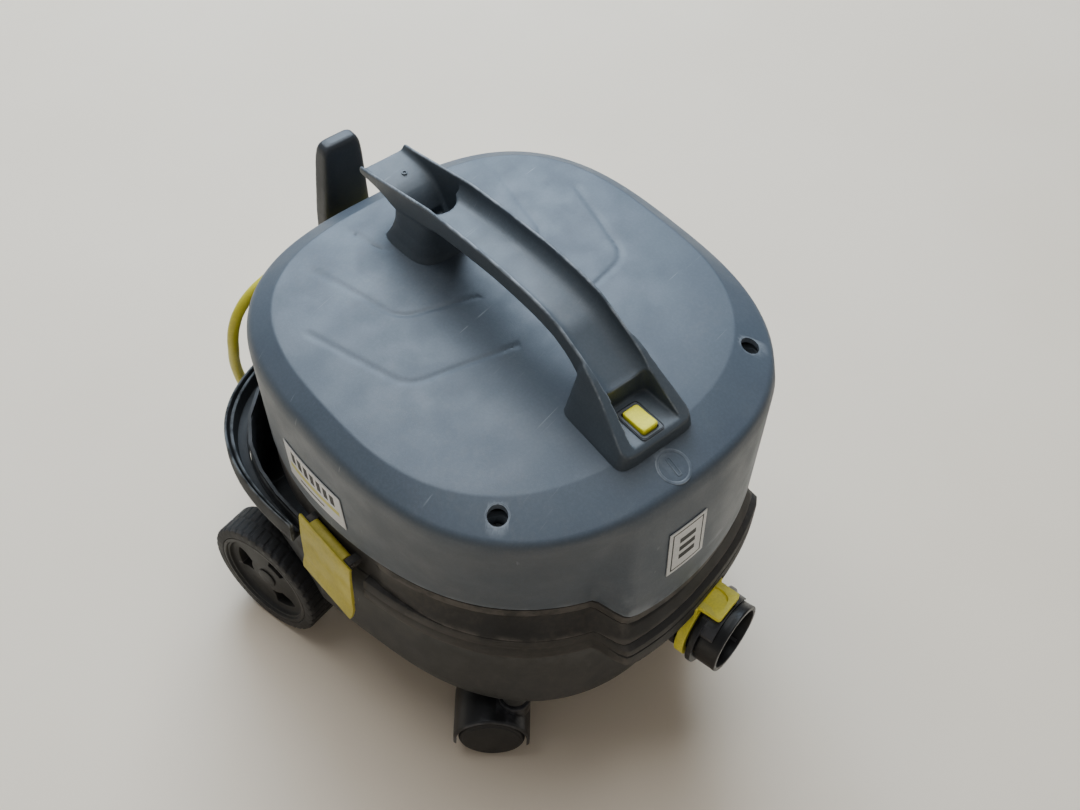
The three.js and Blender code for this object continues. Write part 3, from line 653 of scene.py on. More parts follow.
def ribbed(count, low, high, ribs):
    """Radii that grow from low to high with shallow grooves between the ribs."""
    radii = []
    for k in range(count):
        share = k / (count - 1)
        groove = 0.55 if (share * ribs) % 1 > 0.68 and share < 0.9 else 0.0
        radii.append(mix(low, high, smooth(share)) - groove)
    return radii


cord, cord_route = mains_cord()
plug = piece("mains_plug", plug_shell(), BLACK, "lid", "black_plastic", "plug_body")
boot_path = resampled(cord_route[-7:], 0.9)
boot_radii = ribbed(len(boot_path), 4.9, 7.2, 9)
plug_boot = piece("plug_boot", tapered_sleeve(boot_path, boot_radii), RUBBER, "lid", "rubber")

GLAND = dict(x=66, y=168.5, z=229, tip=38)


def relief_sleeve():
    head_path = [(GLAND["tip"] + 0.4 * k, GLAND["y"], GLAND["z"]) for k in range(70)]
    return tapered_sleeve(head_path, ribbed(70, 4.8, 8.0, 8))


relief = piece("strain_relief_sleeve", relief_sleeve(), RUBBER, "lid", "rubber", "strain_relief", turn=True)


def coil_tie():
    """A strap closed round the coil's section, with its end standing over its buckle."""
    angle = math.radians(222)
    low, high = 0.12, COIL["floor"] + 4 * COIL["pitch"] + 4.6
    near, far = COIL["outer"] - 3 * COIL["pitch"] - 4.6, COIL["outer"] + 4.6
    outline = fillet([(near, low), (far, low), (far, high), (near, high)], 4, 8)
    middle = Vector(((near + far) / 2, (low + high) / 2))
    loop = []
    for r, z in outline:
        away = (Vector((r, z)) - middle).normalized()
        loop.append(((r, z), (r + away.x, max(0.02, z + away.y))))
    rows = []
    for (r0, z0), (r1, z1) in loop:
        rows.append([(r0, -6, z0), (r0, 6, z0), (r1, 6, z1), (r1, -6, z1)])
    band = skin(rows, loop=True)
    tail = box_shape((near + 4, -6, high + 1), (far - 8, 6, high + 1.9))
    buckle = box_shape((far - 13, -7.2, high + 0.2), (far - 7, 7.2, high + 3))
    thing = bevelled(raw_object("coil_tie", merged(band, tail, buckle)), 0.25, 1)
    thing.data.transform(Matrix.Translation((COIL["x"], COIL["y"], 0)) @ Matrix.Rotation(angle, 4, "Z"))
    return thing


tie = piece("coil_tie", coil_tie(), BLACK, "lid", "black_plastic")
kept(STEEL, "plug_pin_left", "plug_pin_right")

# ---------- container ----------
ARCH_R = WHEEL["radius"] + 6
ARCH_X = WHEEL["x"] - WHEEL["width"] - 1


def soft_rows(rows, radii, steps=5):
    """Rounds the corners between rows, column by column."""
    columns = []
    for column in zip(*rows):
        out = []
        for i, corner in enumerate(column):
            if not radii[i]:
                out.append(tuple(corner))
                continue
            out += bend(corner, column[i - 1], column[i + 1], radii[i], steps, 0.48)
        columns.append(out)
    return [list(line) for line in zip(*columns)]


def wheel_arch(side, extra):
    arch = moved(rod_shape(ARCH_R + extra, ARCH_X - extra, WHEEL["x"] + 20, 0.1, 96), ALONG_X)
    if side < 0:
        arch = moved(arch, Matrix.Rotation(math.pi, 4, "Z"))
    return shifted(arch, 0, WHEEL["y"], WHEEL["radius"])


def container_shell():
    outer = skin(soft_rows([
        level(TUB, 14, TUB_FLOOR_Z), level(TUB, 6, TUB_FLOOR_Z + 2), level(TUB, 0, TUB_FLOOR_Z + 14),
        level(TUB, 0, 100), level(TUB, 0, TUB_RIM_Z - 1), level(TUB, 1, TUB_RIM_Z),
    ], [0, 6, 8, 0, 0, 0]))
    cavity = skin(soft_rows([
        level(TUB, 14 + WALL, TUB_FLOOR_Z + WALL), level(TUB, 6 + WALL, TUB_FLOOR_Z + 5),
        level(TUB, WALL, TUB_FLOOR_Z + 16), level(TUB, WALL, TUB_RIM_Z + 5),
    ], [0, 5, 6, 0]))
    body = raw_object("tub_shell", outer)
    hollow = raw_object("hollow", cavity)
    for _, side in SIDES:
        combine(hollow, "DIFFERENCE", wheel_arch(side, WALL))
        combine(body, "DIFFERENCE", wheel_arch(side, 0))
    combine(body, "DIFFERENCE", hollow)
    for _, side in SIDES:
        axle_boss = box_shape((min(side * 72, side * 104), WHEEL["y"] - 11, 38),
                              (max(side * 72, side * 104), WHEEL["y"] + 11, TUB_FLOOR_Z + 1))
        caster_boss = shifted(rod_shape(9, TUB_FLOOR_Z + 1, 80, 0.8), side * CASTER["x"], CASTER["y"], 0)
        combine(body, "UNION", axle_boss, caster_boss)
    axle = shifted(moved(rod_shape(5.3, -130, 130, 0.1), ALONG_X), 0, WHEEL["y"], WHEEL["radius"])
    stems = [shifted(rod_shape(4.3, 40, 76, 0.1), side * CASTER["x"], CASTER["y"], 0) for _, side in SIDES]
    inlet = moved(rod_shape(22.6, 100, 170, 0.1, 96), INLET)
    combine(body, "DIFFERENCE", axle, inlet, *stems)
    return bevelled(body, 0.9, 3, 50)


piece("tub_shell", container_shell(), TUB_GREY, "container", "tub_grey", "container_tub")
kept(RUBBER, "lid_seal")
kept(STEEL, "rear_axle")

# ---------- rim bumpers ----------
LATCH_BAY = (6, 72)
NOSE_LIP_DROP = 4


def bumper_row(share, z, drop=0.0):
    """A row between the tub and the rim; the front's lower edge hangs a little under the nose."""
    def radius(angle):
        return mix(reach(TUB, angle) + GAP, reach(RIM, angle), share)

    def height(angle):
        return z - drop * nose_share(RIM, angle, reach(RIM, angle))
    return row(radius, height)


def front_bumper():
    profile = [
        (0, 130, 1), (0.86, 130, 1), (1, 133, 1), (1, 140.6, 0), (0.94, 141.2, 0), (0.94, 142.4, 0),
        (1, 143, 0), (0.97, 147.6, 0), (0.82, 150, 0), (0, 150, 0),
    ]
    rows = [bumper_row(share, z, NOSE_LIP_DROP * hang) for share, z, hang in profile]
    ring = raw_object("bumper_front", skin(rows, loop=True))
    combine(ring, "INTERSECT", box_shape((-220, -230, 100), (220, LATCH_BAY[0], 170)))
    combine(ring, "DIFFERENCE", box_shape((-17, -210, 110), (17, -155, 134.5)))
    return bevelled(ring, 0.5, 2, 35)


def rear_bumper():
    profile = [
        (0, 131), (0.80, 130), (0.97, 132), (1, 136), (1, 147), (0.98, 149.2), (0.92, 150), (0.87, 149.4),
        (0.84, 147), (0.80, 144.5), (0.76, 146.4), (0.72, 148), (0.66, 148.6), (0.60, 148), (0.57, 146),
        (0.53, 141), (0.46, 137.5), (0.30, 136.5), (0.06, 136.5), (0, 138),
    ]
    ring = raw_object("bumper_rear", skin([bumper_row(share, z) for share, z in profile], loop=True))
    combine(ring, "INTERSECT", box_shape((-220, LATCH_BAY[1], 100), (220, 230, 170)))
    return bevelled(ring, 0.4, 2, 55)


piece("bumper_front", front_bumper(), BUMPER, "container", "bumper_black", "rim_bumper_front")
piece("bumper_rear", rear_bumper(), LIPS_GREY, "container", "bumper_black", "rim_bumper_rear")

# ---------- lid base ring ----------
COVER_INSET = WALL + GAP
MOTOR_Y = 12


def skirt_low(angle):
    """Height of the cover's lower edge, a little lower in front and lower again under the nose."""
    nose = nose_share(SKIRT, angle, reach(SKIRT, angle))
    return SKIRT_Z - SKIRT_FRONT_DROP * smooth(-1.6 * math.sin(angle)) - SKIRT_NOSE_DROP * nose


def lid_base_ring():
    """The dark ring under the cover; in front its foot spreads out over the bumper's top."""
    profile = [
        (WALL + COVER_INSET, 155), (WALL + COVER_INSET + 2, BASE_TOP_Z), (COVER_INSET + 2, BASE_TOP_Z),
    ]
    band = [
        (COVER_INSET, -2), (COVER_INSET - 1.8, -3), (COVER_INSET - 1.8, -9.6), (COVER_INSET - 0.9, -10.4),
        (COVER_INSET - 0.2, -10.6), (COVER_INSET - 0.2, -11.2), (COVER_INSET - 0.9, -11.4),
    ]
    foot = [(0.30, 160), (0.66, 154.6), (0.97, 151.6), (1, 150.3)]
    under = [(COVER_INSET + 2, 150.3), (WALL + COVER_INSET + 4, 150.4)]

    def proud(angle):
        """Falls to nothing beside the latches, whose plates swing close to the ring."""
        beside = abs(reach(SKIRT, angle) * math.sin(angle) - LATCH["y"]) - LATCH["half"]
        return smooth((beside - 8) / 8)

    def band_radius(inset):
        return lambda angle: reach(SKIRT, angle) - COVER_INSET + (COVER_INSET - inset) * proud(angle)

    def foot_radius(share):
        def radius(angle):
            near = reach(SKIRT, angle) - COVER_INSET + proud(angle)
            far = max(near + 1, mix(reach(TUB, angle), reach(RIM, angle), 0.80))
            return mix(near, far, share * smooth(0.1 - 2.2 * math.sin(angle)))
        return radius

    rows = [level(SKIRT, inset, z) for inset, z in profile]
    rows += [row(band_radius(inset), lambda a, k=z: skirt_low(a) + k) for inset, z in band]
    rows += [row(foot_radius(share), z) for share, z in foot]
    rows += [level(SKIRT, inset, z) for inset, z in under]
    shell = raw_object("lid_base_ring", skin(rows, loop=True))
    plate = skin([level(SKIRT, COVER_INSET + 4, 150.4), level(SKIRT, COVER_INSET + 4, 155.2)])
    web = raw_object("web", plate)
    combine(web, "DIFFERENCE", shifted(rod_shape(34, 100, 200, 0.1, 96), 0, MOTOR_Y, 0))
    combine(shell, "UNION", web)
    for _, side in SIDES:
        for low, high in ((-LATCH["lug"], -LATCH["knuckle"] - 0.4), (LATCH["knuckle"] + 0.4, LATCH["lug"])):
            outline = fillet([(-3.1, -3.2), (10, -3.2), (10, 2.2), (-3.1, 2.2)], [2.6, 0, 0, 2.6], 6)
            combine(shell, "UNION", moved(slab(outline, low, high, False), latch_place(side)))
    return shell


def latch_place(side):
    """The left latch's place, and the right one's as its mirror image."""
    left = Matrix.Translation((-LATCH["x"], LATCH["y"], LATCH["z"])) @ HEAD
    return Matrix.Diagonal((-side, 1, 1, 1)) @ left


piece("lid_base_ring", lid_base_ring(), BUMPER, "lid", "bumper_black", "lid_base")

# ---------- latches ----------


def latch_plate(side):
    half = LATCH["half"]
    roll = [(5.6 * math.cos(a), 5.6 * math.sin(a)) for a in (math.radians(148 + 8 * k) for k in range(5))]
    hollow = [(3.95 * math.cos(a), 3.95 * math.sin(a)) for a in (math.radians(180 - 8 * k) for k in range(5))]
    outline = roll + [(-6.4, -18), (-6.2, -44), (-8.6, -54), (-7.5, -55), (-4.5, -45), (-4.7, -18)] + hollow
    plate = raw_object("latch", slab(outline, -half, half, False))
    face = fillet([(-half, -56), (half, -56), (half, 7), (-half, 7)], [7, 7, 1, 1], 8)
    combine(plate, "INTERSECT", slab(face, -30, 10))
    flange = fillet([(-6.4, -40), (-4.0, -37), (-4.2, -6), (-6.0, -4)], 0.6, 3)
    for low, high in ((-half + 0.2, -half + 2.4), (half - 2.4, half - 0.2)):
        combine(plate, "UNION", slab(flange, low, high, False))
    web = box_shape((-4.6, -LATCH["knuckle"], -2.8), (0, LATCH["knuckle"], 2.8))
    knuckle = moved(rod_shape(3.3, -LATCH["knuckle"], LATCH["knuckle"], 0.4, 32), ALONG_Y)
    combine(plate, "UNION", web, knuckle)
    bevelled(plate, 0.45, 2, 42)
    plate.data.transform(latch_place(side))
    face_outward(plate.data)
    return plate


for name, side in SIDES:
    piece(f"latch_yoke_{name}", latch_plate(side), LATCH_YELLOW, f"latch_{name}_arm", "yellow_plastic",
          f"latch_{name}")
    kept(STEEL, f"latch_pin_{name}")

# ---------- lid cover ----------
SWITCH_HOLE = box_shape((SWITCH["x"] - 7.2, SWITCH["y"] - 11.2, 250),
                        (SWITCH["x"] + 7.2, SWITCH["y"] + 11.2, 300))
PANEL_RISE = 5.3
WELL_R = 6
SHOULDER_INSET = 2.5
GROOVES = (
    ((107, 63), (97, 28), (88, -2), (80, -9), (50, -16), (16, -24)),
    ((75, 106), (66, 71), (60, 44), (53, 36), (32, 29), (10, 22)),
    ((36, 121), (34, 105), (31, 93), (26, 88)),
)
GROOVE_HALF = 2.4
GROOVE_DEEP = 0.8


def crown_height(x, y):
    """Height of the cover's top over a point of the turned head: domed panel, then the sloping crown."""
    r, angle = math.hypot(x, y), math.atan2(y, x) + HEAD_TURN
    edge, shoulder = reach(PANEL, angle), reach(SHOULDER, angle) - SHOULDER_INSET
    if r <= edge:
        return PANEL_Z + PANEL_RISE * (1 - (r / edge) ** 3.2)
    return mix(PANEL_Z, SHOULDER_Z + 1, (r - edge) / (shoulder - edge))


def groove_lines():
    lines = []
    for groove in GROOVES:
        for mirror in (-1, 1):
            line = fillet([(mirror * x, y) for x, y in groove], 12, 4, closed=False)
            lines.append([Vector(p) for p in line])
    return lines


def groove_depth(x, y, lines):
    p = Vector((x, y))
    nearest = 99.0
    for line in lines:
        for a, b in zip(line, line[1:]):
            along = b - a
            t = min(1.0, max(0.0, (p - a).dot(along) / along.length_squared))
            nearest = min(nearest, (a + along * t - p).length)
    return GROOVE_DEEP * (1 - smooth(nearest / GROOVE_HALF))


def side_row(z, inset=0.0):
    return row(lambda angle: side_reach(angle, z) - inset, z)


def panel_rows(top, fine):
    """Rows over the panel from its edge inwards, grooved where fine."""
    lines = groove_lines() if fine else []
    turn_back = Matrix.Rotation(-HEAD_TURN, 2)
    rows = []
    steps = 62 if fine else 8
    for k in range(1, steps):
        share = 1 - k / steps
        line = []
        for angle in ANGLES:
            r = reach(PANEL, angle) * share
            x, y = r * math.cos(angle), r * math.sin(angle)
            z = PANEL_Z + PANEL_RISE * (1 - share ** 3.2)
            if fine and share > 0.1:
                head = turn_back @ Vector((x, y))
                z -= groove_depth(head.x, head.y, lines)
            line.append((x, y, z + top))
        rows.append(line)
    return rows


def lid_cover_shell():
    inner_crown = [level(PANEL, WALL, PANEL_Z - WALL), level(SHOULDER, SHOULDER_INSET + WALL, SHOULDER_Z - 2)]
    inner_side = [side_row(262, WALL), side_row(215, WALL),
                  row(lambda a: reach(SKIRT, a) - WALL, lambda a: skirt_low(a) + 1)]
    lip = [
        row(lambda a: reach(SKIRT, a) - WALL + 0.6, skirt_low),
        row(lambda a: reach(SKIRT, a) - 0.7, skirt_low),
        row(lambda a: reach(SKIRT, a), lambda a: skirt_low(a) + 0.8),
    ]
    body = [row(lambda a: side_reach(a, 186), 186), side_row(205), side_row(225), side_row(248),
            row(lambda a: mix(reach(SKIRT, a), reach(SHOULDER, a), 0.93), 268)]
    crown = [level(SHOULDER, SHOULDER_INSET, SHOULDER_Z + 1), level(PANEL, 0, PANEL_Z)]
    panel = panel_rows(0, True)
    radii = [0] * (len(lip) + 1) + [8, 8, 8, 7] + [4.5, 1.6] + [0]
    outside = soft_rows(lip + body + crown + panel[:1], radii, 5)
    inside = panel_rows(-WALL, False)[::-1] + inner_crown + inner_side
    shell = raw_object("lid_shell", skin(inside + outside + panel[1:]))
    seat = SCREW["seat"]
    wells, bosses = [], []
    for _, side in SIDES:
        for group, rod in ((wells, rod_shape(WELL_R, seat, 300, 0.1)),
                           (bosses, rod_shape(WELL_R + 3.5, seat - 16, seat + 9, 0.3))):
            group.append(moved(shifted(rod, side * SCREW["x"], SCREW["y"], 0), HEAD))
    combine(shell, "UNION", *bosses)
    combine(shell, "DIFFERENCE", *wells, moved(SWITCH_HOLE, HEAD))
    return shell


piece("lid_shell", lid_cover_shell(), LID_GREY, "lid", "panel_grey", "lid_cover", sharp=30)
kept(STEEL, "cover_screw_left", "cover_screw_right")


def well_collars():
    """The softly chamfered mouths of the two screw wells."""
    rings = []
    for _, side in SIDES:
        x, y = side * SCREW["x"], SCREW["y"]
        rows = []
        for r, lift in ((6.0, -3.0), (6.0, -0.9), (6.2, -0.4), (6.6, 0.0), (7.1, 0.05), (7.6, -0.5),
                        (7.4, -2.0)):
            rows.append([(px, py, crown_height(px, py) + lift) for px, py in circle(r, 64, x, y)])
        rings.append(skin(rows, loop=True))
    return merged(*rings)


piece("screw_well_collars", well_collars(), LID_GREY, "lid", "panel_grey", turn=True)


# ---------- power symbol moulded in front of the switch ----------
SYMBOL = dict(x=0.5, y=-143, outer=10.8, inner=8.9, bar_x=1.7, bar_y=6.2)
SYMBOL_LIFT = 0.35


def raised_on_crown(outline_outer, outline_inner, lift):
    """A low raised band between two outlines lying on the sloping crown."""
    rows = []
    for share, height in ((0, -0.6), (0, 0.55 * lift), (0.25, lift), (0.75, lift), (1, 0.55 * lift),
                          (1, -0.6)):
        outline = blended(outline_outer, outline_inner, share)
        rows.append([(x, y, crown_height(x, y) + height) for x, y in outline])
    return skin(rows, loop=True)


def blended(a, b, t):
    return [(mix(p[0], q[0], t), mix(p[1], q[1], t)) for p, q in zip(a, b)]


def frame_outline(x, y, half_x, half_y, power=10, count=96):
    """A rounded rectangle; a higher power has tighter corners."""
    out = []
    for c, s in circle(1, count):
        r = (abs(c) ** power + abs(s) ** power) ** (-1 / power)
        out.append((x + half_x * r * c, y + half_y * r * s))
    return out


def power_symbol():
    x, y = SYMBOL["x"], SYMBOL["y"]
    ring = raised_on_crown(circle(SYMBOL["outer"], 96, x, y), circle(SYMBOL["inner"], 96, x, y), SYMBOL_LIFT)
    bar = raised_on_crown(
        frame_outline(x, y, SYMBOL["bar_x"], SYMBOL["bar_y"]),
        frame_outline(x, y, SYMBOL["bar_x"] - 0.8, SYMBOL["bar_y"] - 0.8), SYMBOL_LIFT,
    )
    return merged(ring, bar)


piece("power_symbol", power_symbol(), LID_GREY, "lid", "panel_grey", turn=True)

# ---------- carry handle ----------
GRIP_HALF = 18.5
LIPS = [
    (-133, 291), (-127, 295.5), (-118, 303), (-104, 314), (-92, 323), (-77, 331), (-57, 340), (-40, 343),
    (-23, 344), (0, 344), (32, 342), (61, 339.5), (100, 331), (120, 326.5), (131, 324.5),
]
UNDERSIDE = [
    (-133, 279), (-104, 299), (-78, 311), (-71, 318), (-57, 325), (-40, 328), (-23, 329), (0, 329), (32, 326.5),
    (54, 323.5), (62, 320), (80, 316), (96, 312), (102, 314.5), (114, 316.5), (131, 317),
]
TROUGH_FLOOR = [
    (-97, 310), (-77, 319), (-57, 328), (-40, 331), (-23, 332), (0, 332), (32, 330), (64, 326), (80, 324),
]
TAIL_FLOOR = [(70, 297), (80, 298), (85, 301), (90, 309), (95, 315.5), (103, 319.5), (112, 321), (150, 321.5)]


def along(line, y):
    """Height of a (y, z) polyline at y."""
    for (y0, z0), (y1, z1) in zip(line, line[1:]):
        if y <= y1:
            return mix(z0, z1, max(0.0, (y - y0) / (y1 - y0)))
    return line[-1][1]


def averaged(line, y, spread=4):
    return sum(along(line, y + d * spread / 2) for d in (-2, -1, 0, 1, 2)) / 5


def channel(start, end, low, high, half, radius, step=2.0):
    """A bar along Y with rounded lower corners; low and high give its heights at each y."""
    rows = []
    count = int((end - start) / step) + 1
    for k in range(count + 1):
        y = mix(start, end, k / count)
        bottom, top = low(y), high(y)
        line = [(half, y, top), (half, y, mix(bottom + radius, top, 0.5))]
        for i in range(9):
            a = math.pi / 2 * i / 8
            line.append((half - radius + radius * math.cos(a), y, bottom + radius - radius * math.sin(a)))
        line += [(-x, y, z) for x, _, z in reversed(line)]
        rows.append(line)
    return skin(rows)


def pad_row(half_x, y_low, y_high, z, power=5):
    outline = frame_outline(0, (y_low + y_high) / 2, half_x, (y_high - y_low) / 2, power, 64)
    return [(x, y, z) for x, y in outline]


def cover_core():
    """The cover's outside a little below its surface, which the handle and hook stand on."""
    drop = 1.2
    rows = [side_row(z, drop) for z in (184, 215, 250)]
    rows.append(row(lambda a: mix(reach(SKIRT, a), reach(SHOULDER, a), 0.93) - drop, 268))
    rows += [level(SHOULDER, SHOULDER_INSET + drop, SHOULDER_Z + 0.4), level(PANEL, drop, PANEL_Z - drop)]
    for share in (0.9, 0.8, 0.65, 0.45, 0.2):
        z = PANEL_Z + PANEL_RISE * (1 - share ** 3.2) - drop
        rows.append(row(lambda a, k=share: reach(PANEL, a) * k, z))
    coarse = [line[::3] for line in rows]
    return moved(skin(coarse), Matrix.Rotation(-HEAD_TURN, 4, "Z"))


def carry_handle():
    grip = channel(-129.8, 131, lambda y: averaged(UNDERSIDE, y), lambda y: averaged(LIPS, y, 3), GRIP_HALF, 5)
    outline = list(reversed(LIPS)) + [
        (-133, 278), (110.5, 278), (106.5, 284), (102, 291), (98.5, 298), (97, 305), (97.5, 310), (100, 314),
        (106, 316.5), (115, 317), (131, 317),
    ]
    wide = raw_object("wide", slab(outline, -40, 40))
    pod = raw_object("pod", skin([pad_row(half, low, high, z, 8) for half, low, high, z in (
        (32, -131, -75, 278), (29.5, -130.6, -75.5, 289), (26, -130.6, -76, 300), (22, -130.6, -77, 315),
        (19.4, -130.6, -78, 330), (18.7, -130.6, -80, 345),
    )]))
    column = raw_object("column", skin([
        pad_row(27, 56, 114, 278, 3), pad_row(24, 58, 110, 287, 3.2), pad_row(21, 60, 106, 295, 3.6),
        pad_row(18.9, 60.5, 101, 305, 4), pad_row(18.2, 60.5, 99, 314, 5), pad_row(17.8, 60, 99, 322, 6),
    ]))
    combine(pod, "INTERSECT", raw_object("wide_copy", slab(outline, -40, 40)))
    combine(column, "INTERSECT", wide)
    body = raw_object("handle_body", grip)
    combine(body, "UNION", column, pod)
    remeshed(body, 0.9, 0)
    wall = 2.2
    trough = channel(-101.3, 82, lambda y: averaged(TROUGH_FLOOR, y), lambda y: 380, GRIP_HALF - wall, 9)
    tail = channel(72, 150, lambda y: averaged(TAIL_FLOOR, y), lambda y: 380, GRIP_HALF - wall, 4)
    well = upright(half_circle(13.4, 76.6, 24) + [(13.4, 88), (-13.4, 88)], 300, 380)
    pocket = skin([pad_row(18.4, -142.4, -97.6, SWITCH["floor"], 10), pad_row(17.6, -142.2, -97.4, 301, 10),
                   pad_row(15.4, -142.1, -97.1, 318, 10), pad_row(15.0, -142, -96.6, 380, 10)])
    combine(body, "DIFFERENCE", trough, tail, well, pocket, SWITCH_HOLE, cover_core())
    remeshed(body, 0.8, 2)
    return body


piece("handle_moulding", carry_handle(), HANDLE_GREY, "lid", "panel_grey", "carry_handle", turn=True, sharp=60)
piece("handle_tail_dot", shifted(ring_shape(1.1, 1.9, 320.4, 321.6, 0.2, 32), 3, 112, 0), HANDLE_GREY, "lid",
      "panel_grey", turn=True)

# ---------- power switch ----------


def switch_frame():
    outer = frame_outline(0, 0, 8.7, 12.7)
    hole = frame_outline(0, 0, 6.3, 10.0)
    rows = [[(x, y, z) for x, y in outline] for outline, z in (
        (outer, 0.1), (outer, 0.8), (blended(outer, hole, 0.12), 1.0), (blended(outer, hole, 0.16), 0.6),
        (blended(outer, hole, 0.30), 0.6), (blended(outer, hole, 0.34), 1.0), (blended(outer, hole, 0.9), 1.0),
        (hole, 0.8), (hole, -3),
    )]
    return shifted(skin(rows, loop=True), SWITCH["x"], SWITCH["y"], SWITCH["floor"])


def rocker_cap():
    """A pillow-topped cap, higher at its front edge than at its back."""
    rows = [[(x, y, -2.2) for x, y in frame_outline(0, 0, 5.6, 9.1)]]
    for share, lift in ((1.0, 1.9), (0.985, 2.7), (0.93, 3.3), (0.80, 3.6), (0.55, 3.7), (0.25, 3.7)):
        line = []
        for x, y in frame_outline(0, 0, 5.9 * share, 9.3 * share):
            tilt = -0.055 * y + 0.004 * y * y
            line.append((x, y, lift + tilt * min(1.0, share + 0.2)))
        rows.append(line)
    return shifted(skin(rows), SWITCH["x"], SWITCH["y"], SWITCH["floor"])


piece("switch_frame", switch_frame(), DARK_HOOK, "lid", "black_plastic", "switch_bezel", turn=True)
piece("rocker_cap", rocker_cap(), ROCKER_YELLOW, "rocker", "yellow_plastic", "power_rocker", turn=True)
kept(BLACK, "switch_body")

# ---------- cable hook and cord gland ----------


def hook_moulding():
    rows = [pad_row(17, 176.5, 190.5, 222, 5)]
    for half, low, high, z in ((18.6, 175.4, 191.6, 223.5), (19, 175, 192, 226), (18.7, 175, 192, 245),
                               (17.6, 175, 191.8, 260), (16.6, 175, 191.5, 275), (15.8, 175.2, 191, 287),
                               (15.2, 175.4, 190.6, 293), (14.5, 176, 189.8, 298), (13.2, 177, 188.8, 301.4),
                               (11.2, 178.6, 187.4, 303.4), (8, 180.4, 185.8, 304)):
        rows.append(pad_row(half, low, high, z, 5))
    paddle = raw_object("paddle", skin(rows))
    combine(paddle, "DIFFERENCE", skin([
        pad_row(14.6, 186, 196, 230, 8), pad_row(12, 186, 196, 270, 8), pad_row(9.4, 187, 196, 294, 8),
    ]))
    foot = fillet([(140, 221), (179, 221), (179, 231), (140, 231)], 2.5, 5)
    combine(paddle, "UNION", slab(foot, -11, 11))
    combine(paddle, "DIFFERENCE", cover_core())
    return remeshed(paddle, 0.8, 2)


def gland_block():
    outline = fillet([(66, 150), (92, 150), (92, 177.5), (66, 177.5)], [0, 0, 7, 4], 8)
    block = raw_object("gland", upright(outline, 220, 238))
    combine(block, "DIFFERENCE", cover_core())
    return bevelled(block, 1.2, 3, 40)


piece("cable_hook_paddle", hook_moulding(), DARK_HOOK, "lid", "black_plastic", "cable_hook", turn=True,
      sharp=60)
piece("gland_block", gland_block(), BLACK, "lid", "black_plastic", "cord_gland", turn=True)

# ---------- labels: plain bars stand where the real ones have lettering ----------


def sticker(name, angles, heights, cells, inks, ink_at, node):
    """A thin curved label on the cover's side; ink_at picks each cell's material."""
    across, up = cells
    points, faces = [], []
    for lift in (0.9, 0.35):
        for j in range(up + 1):
            z = mix(heights[0], heights[1], j / up)
            for i in range(across + 1):
                angle = math.radians(mix(angles[0], angles[1], i / across))
                r = side_reach(angle, z) + lift
                points.append((r * math.cos(angle), r * math.sin(angle), z))
    wide = across + 1
    back = wide * (up + 1)
    for j in range(up):
        for i in range(across):
            a = j * wide + i
            faces.append((a, a + 1, a + wide + 1, a + wide))
    front_count = len(faces)
    faces += [tuple(v + back for v in reversed(face)) for face in faces[:front_count]]
    edge = [i for i in range(across)] + [j * wide + across for j in range(up)]
    edge += [up * wide + i for i in range(across, 0, -1)] + [j * wide for j in range(up, 0, -1)]
    for a, b in zip(edge, edge[1:] + edge[:1]):
        faces.append((a, a + back, b + back, b))
    mesh = bpy.data.meshes.new(name)
    mesh.from_pydata(points, [], faces)
    label = placed(name, mesh)
    piece(name, label, inks[0], "lid", "label_film", node, sharp=50)
    for ink in inks[1:]:
        mesh.materials.append(ink)
    for k in range(front_count):
        j, i = divmod(k, across)
        mesh.polygons[k].material_index = ink_at((i + 0.5) / across, (j + 0.5) / up)
    return label


def side_print(u, v):
    """A row of upright bars, a stripe under it and a short line under that, on white."""
    if 0.32 < v < 0.46 and 0.06 < u < 0.94:
        return 2
    if 0.56 < v < 0.86 and 0.10 < u < 0.90:
        letter = (u - 0.10) / 0.80 * 7
        return 1 if 0.14 < letter % 1 < 0.76 else 0
    if 0.14 < v < 0.20 and 0.34 < u < 0.78:
        return 1
    return 0


def front_print(u, v):
    """A thin frame round three plain bars."""
    near_edge = min(u, 1 - u) < 0.05 or min(v, 1 - v) < 0.035
    inner_line = 0.09 < min(u, 1 - u) < 0.12 or 0.06 < min(v, 1 - v) < 0.08
    if near_edge:
        return 0
    if inner_line and min(u, 1 - u) > 0.09 and min(v, 1 - v) > 0.06:
        return 1
    return 1 if 0.28 < u < 0.72 and any(abs(v - c) < 0.055 for c in (0.30, 0.50, 0.70)) else 0


sticker("side_sticker", (150.2, 173.2), (197, 232), (96, 56), (LABEL_WHITE, LABEL_INK, LABEL_STRIPE),
        lambda u, v: side_print(1 - u, v), "side_label")
sticker("front_sticker", (-106.4, -95.3), (200, 240), (60, 72), (LABEL_WHITE, LABEL_INK),
        front_print, "front_label")

# ---------- hose inlet, adapter and swivelling sleeve ----------
LEVER = dict(half=12.5, low=129.9, high=133.4, back=-163.2, front=-185, pivot_y=-166, pivot_z=131.4)
PIVOT_HOLE = moved(rod_shape(1.5, -20, 20, 0.05, 24),
                   Matrix.Translation((0, LEVER["pivot_y"], LEVER["pivot_z"])) @ ALONG_X)


def inlet_piece(profile, corner, segments=128):
    return moved(turned_profile(fillet(profile, corner, 3), segments), INLET)


def socket_shape():
    return inlet_piece([
        (17.5, 133), (22, 133), (22, 147.6), (27, 147.6), (27, 150), (20, 150.5), (20, 152.5), (18.8, 152.5),
        (18.8, 154.3), (20, 154.3), (20, 156.7), (17.5, 156.7),
    ], 0.4)


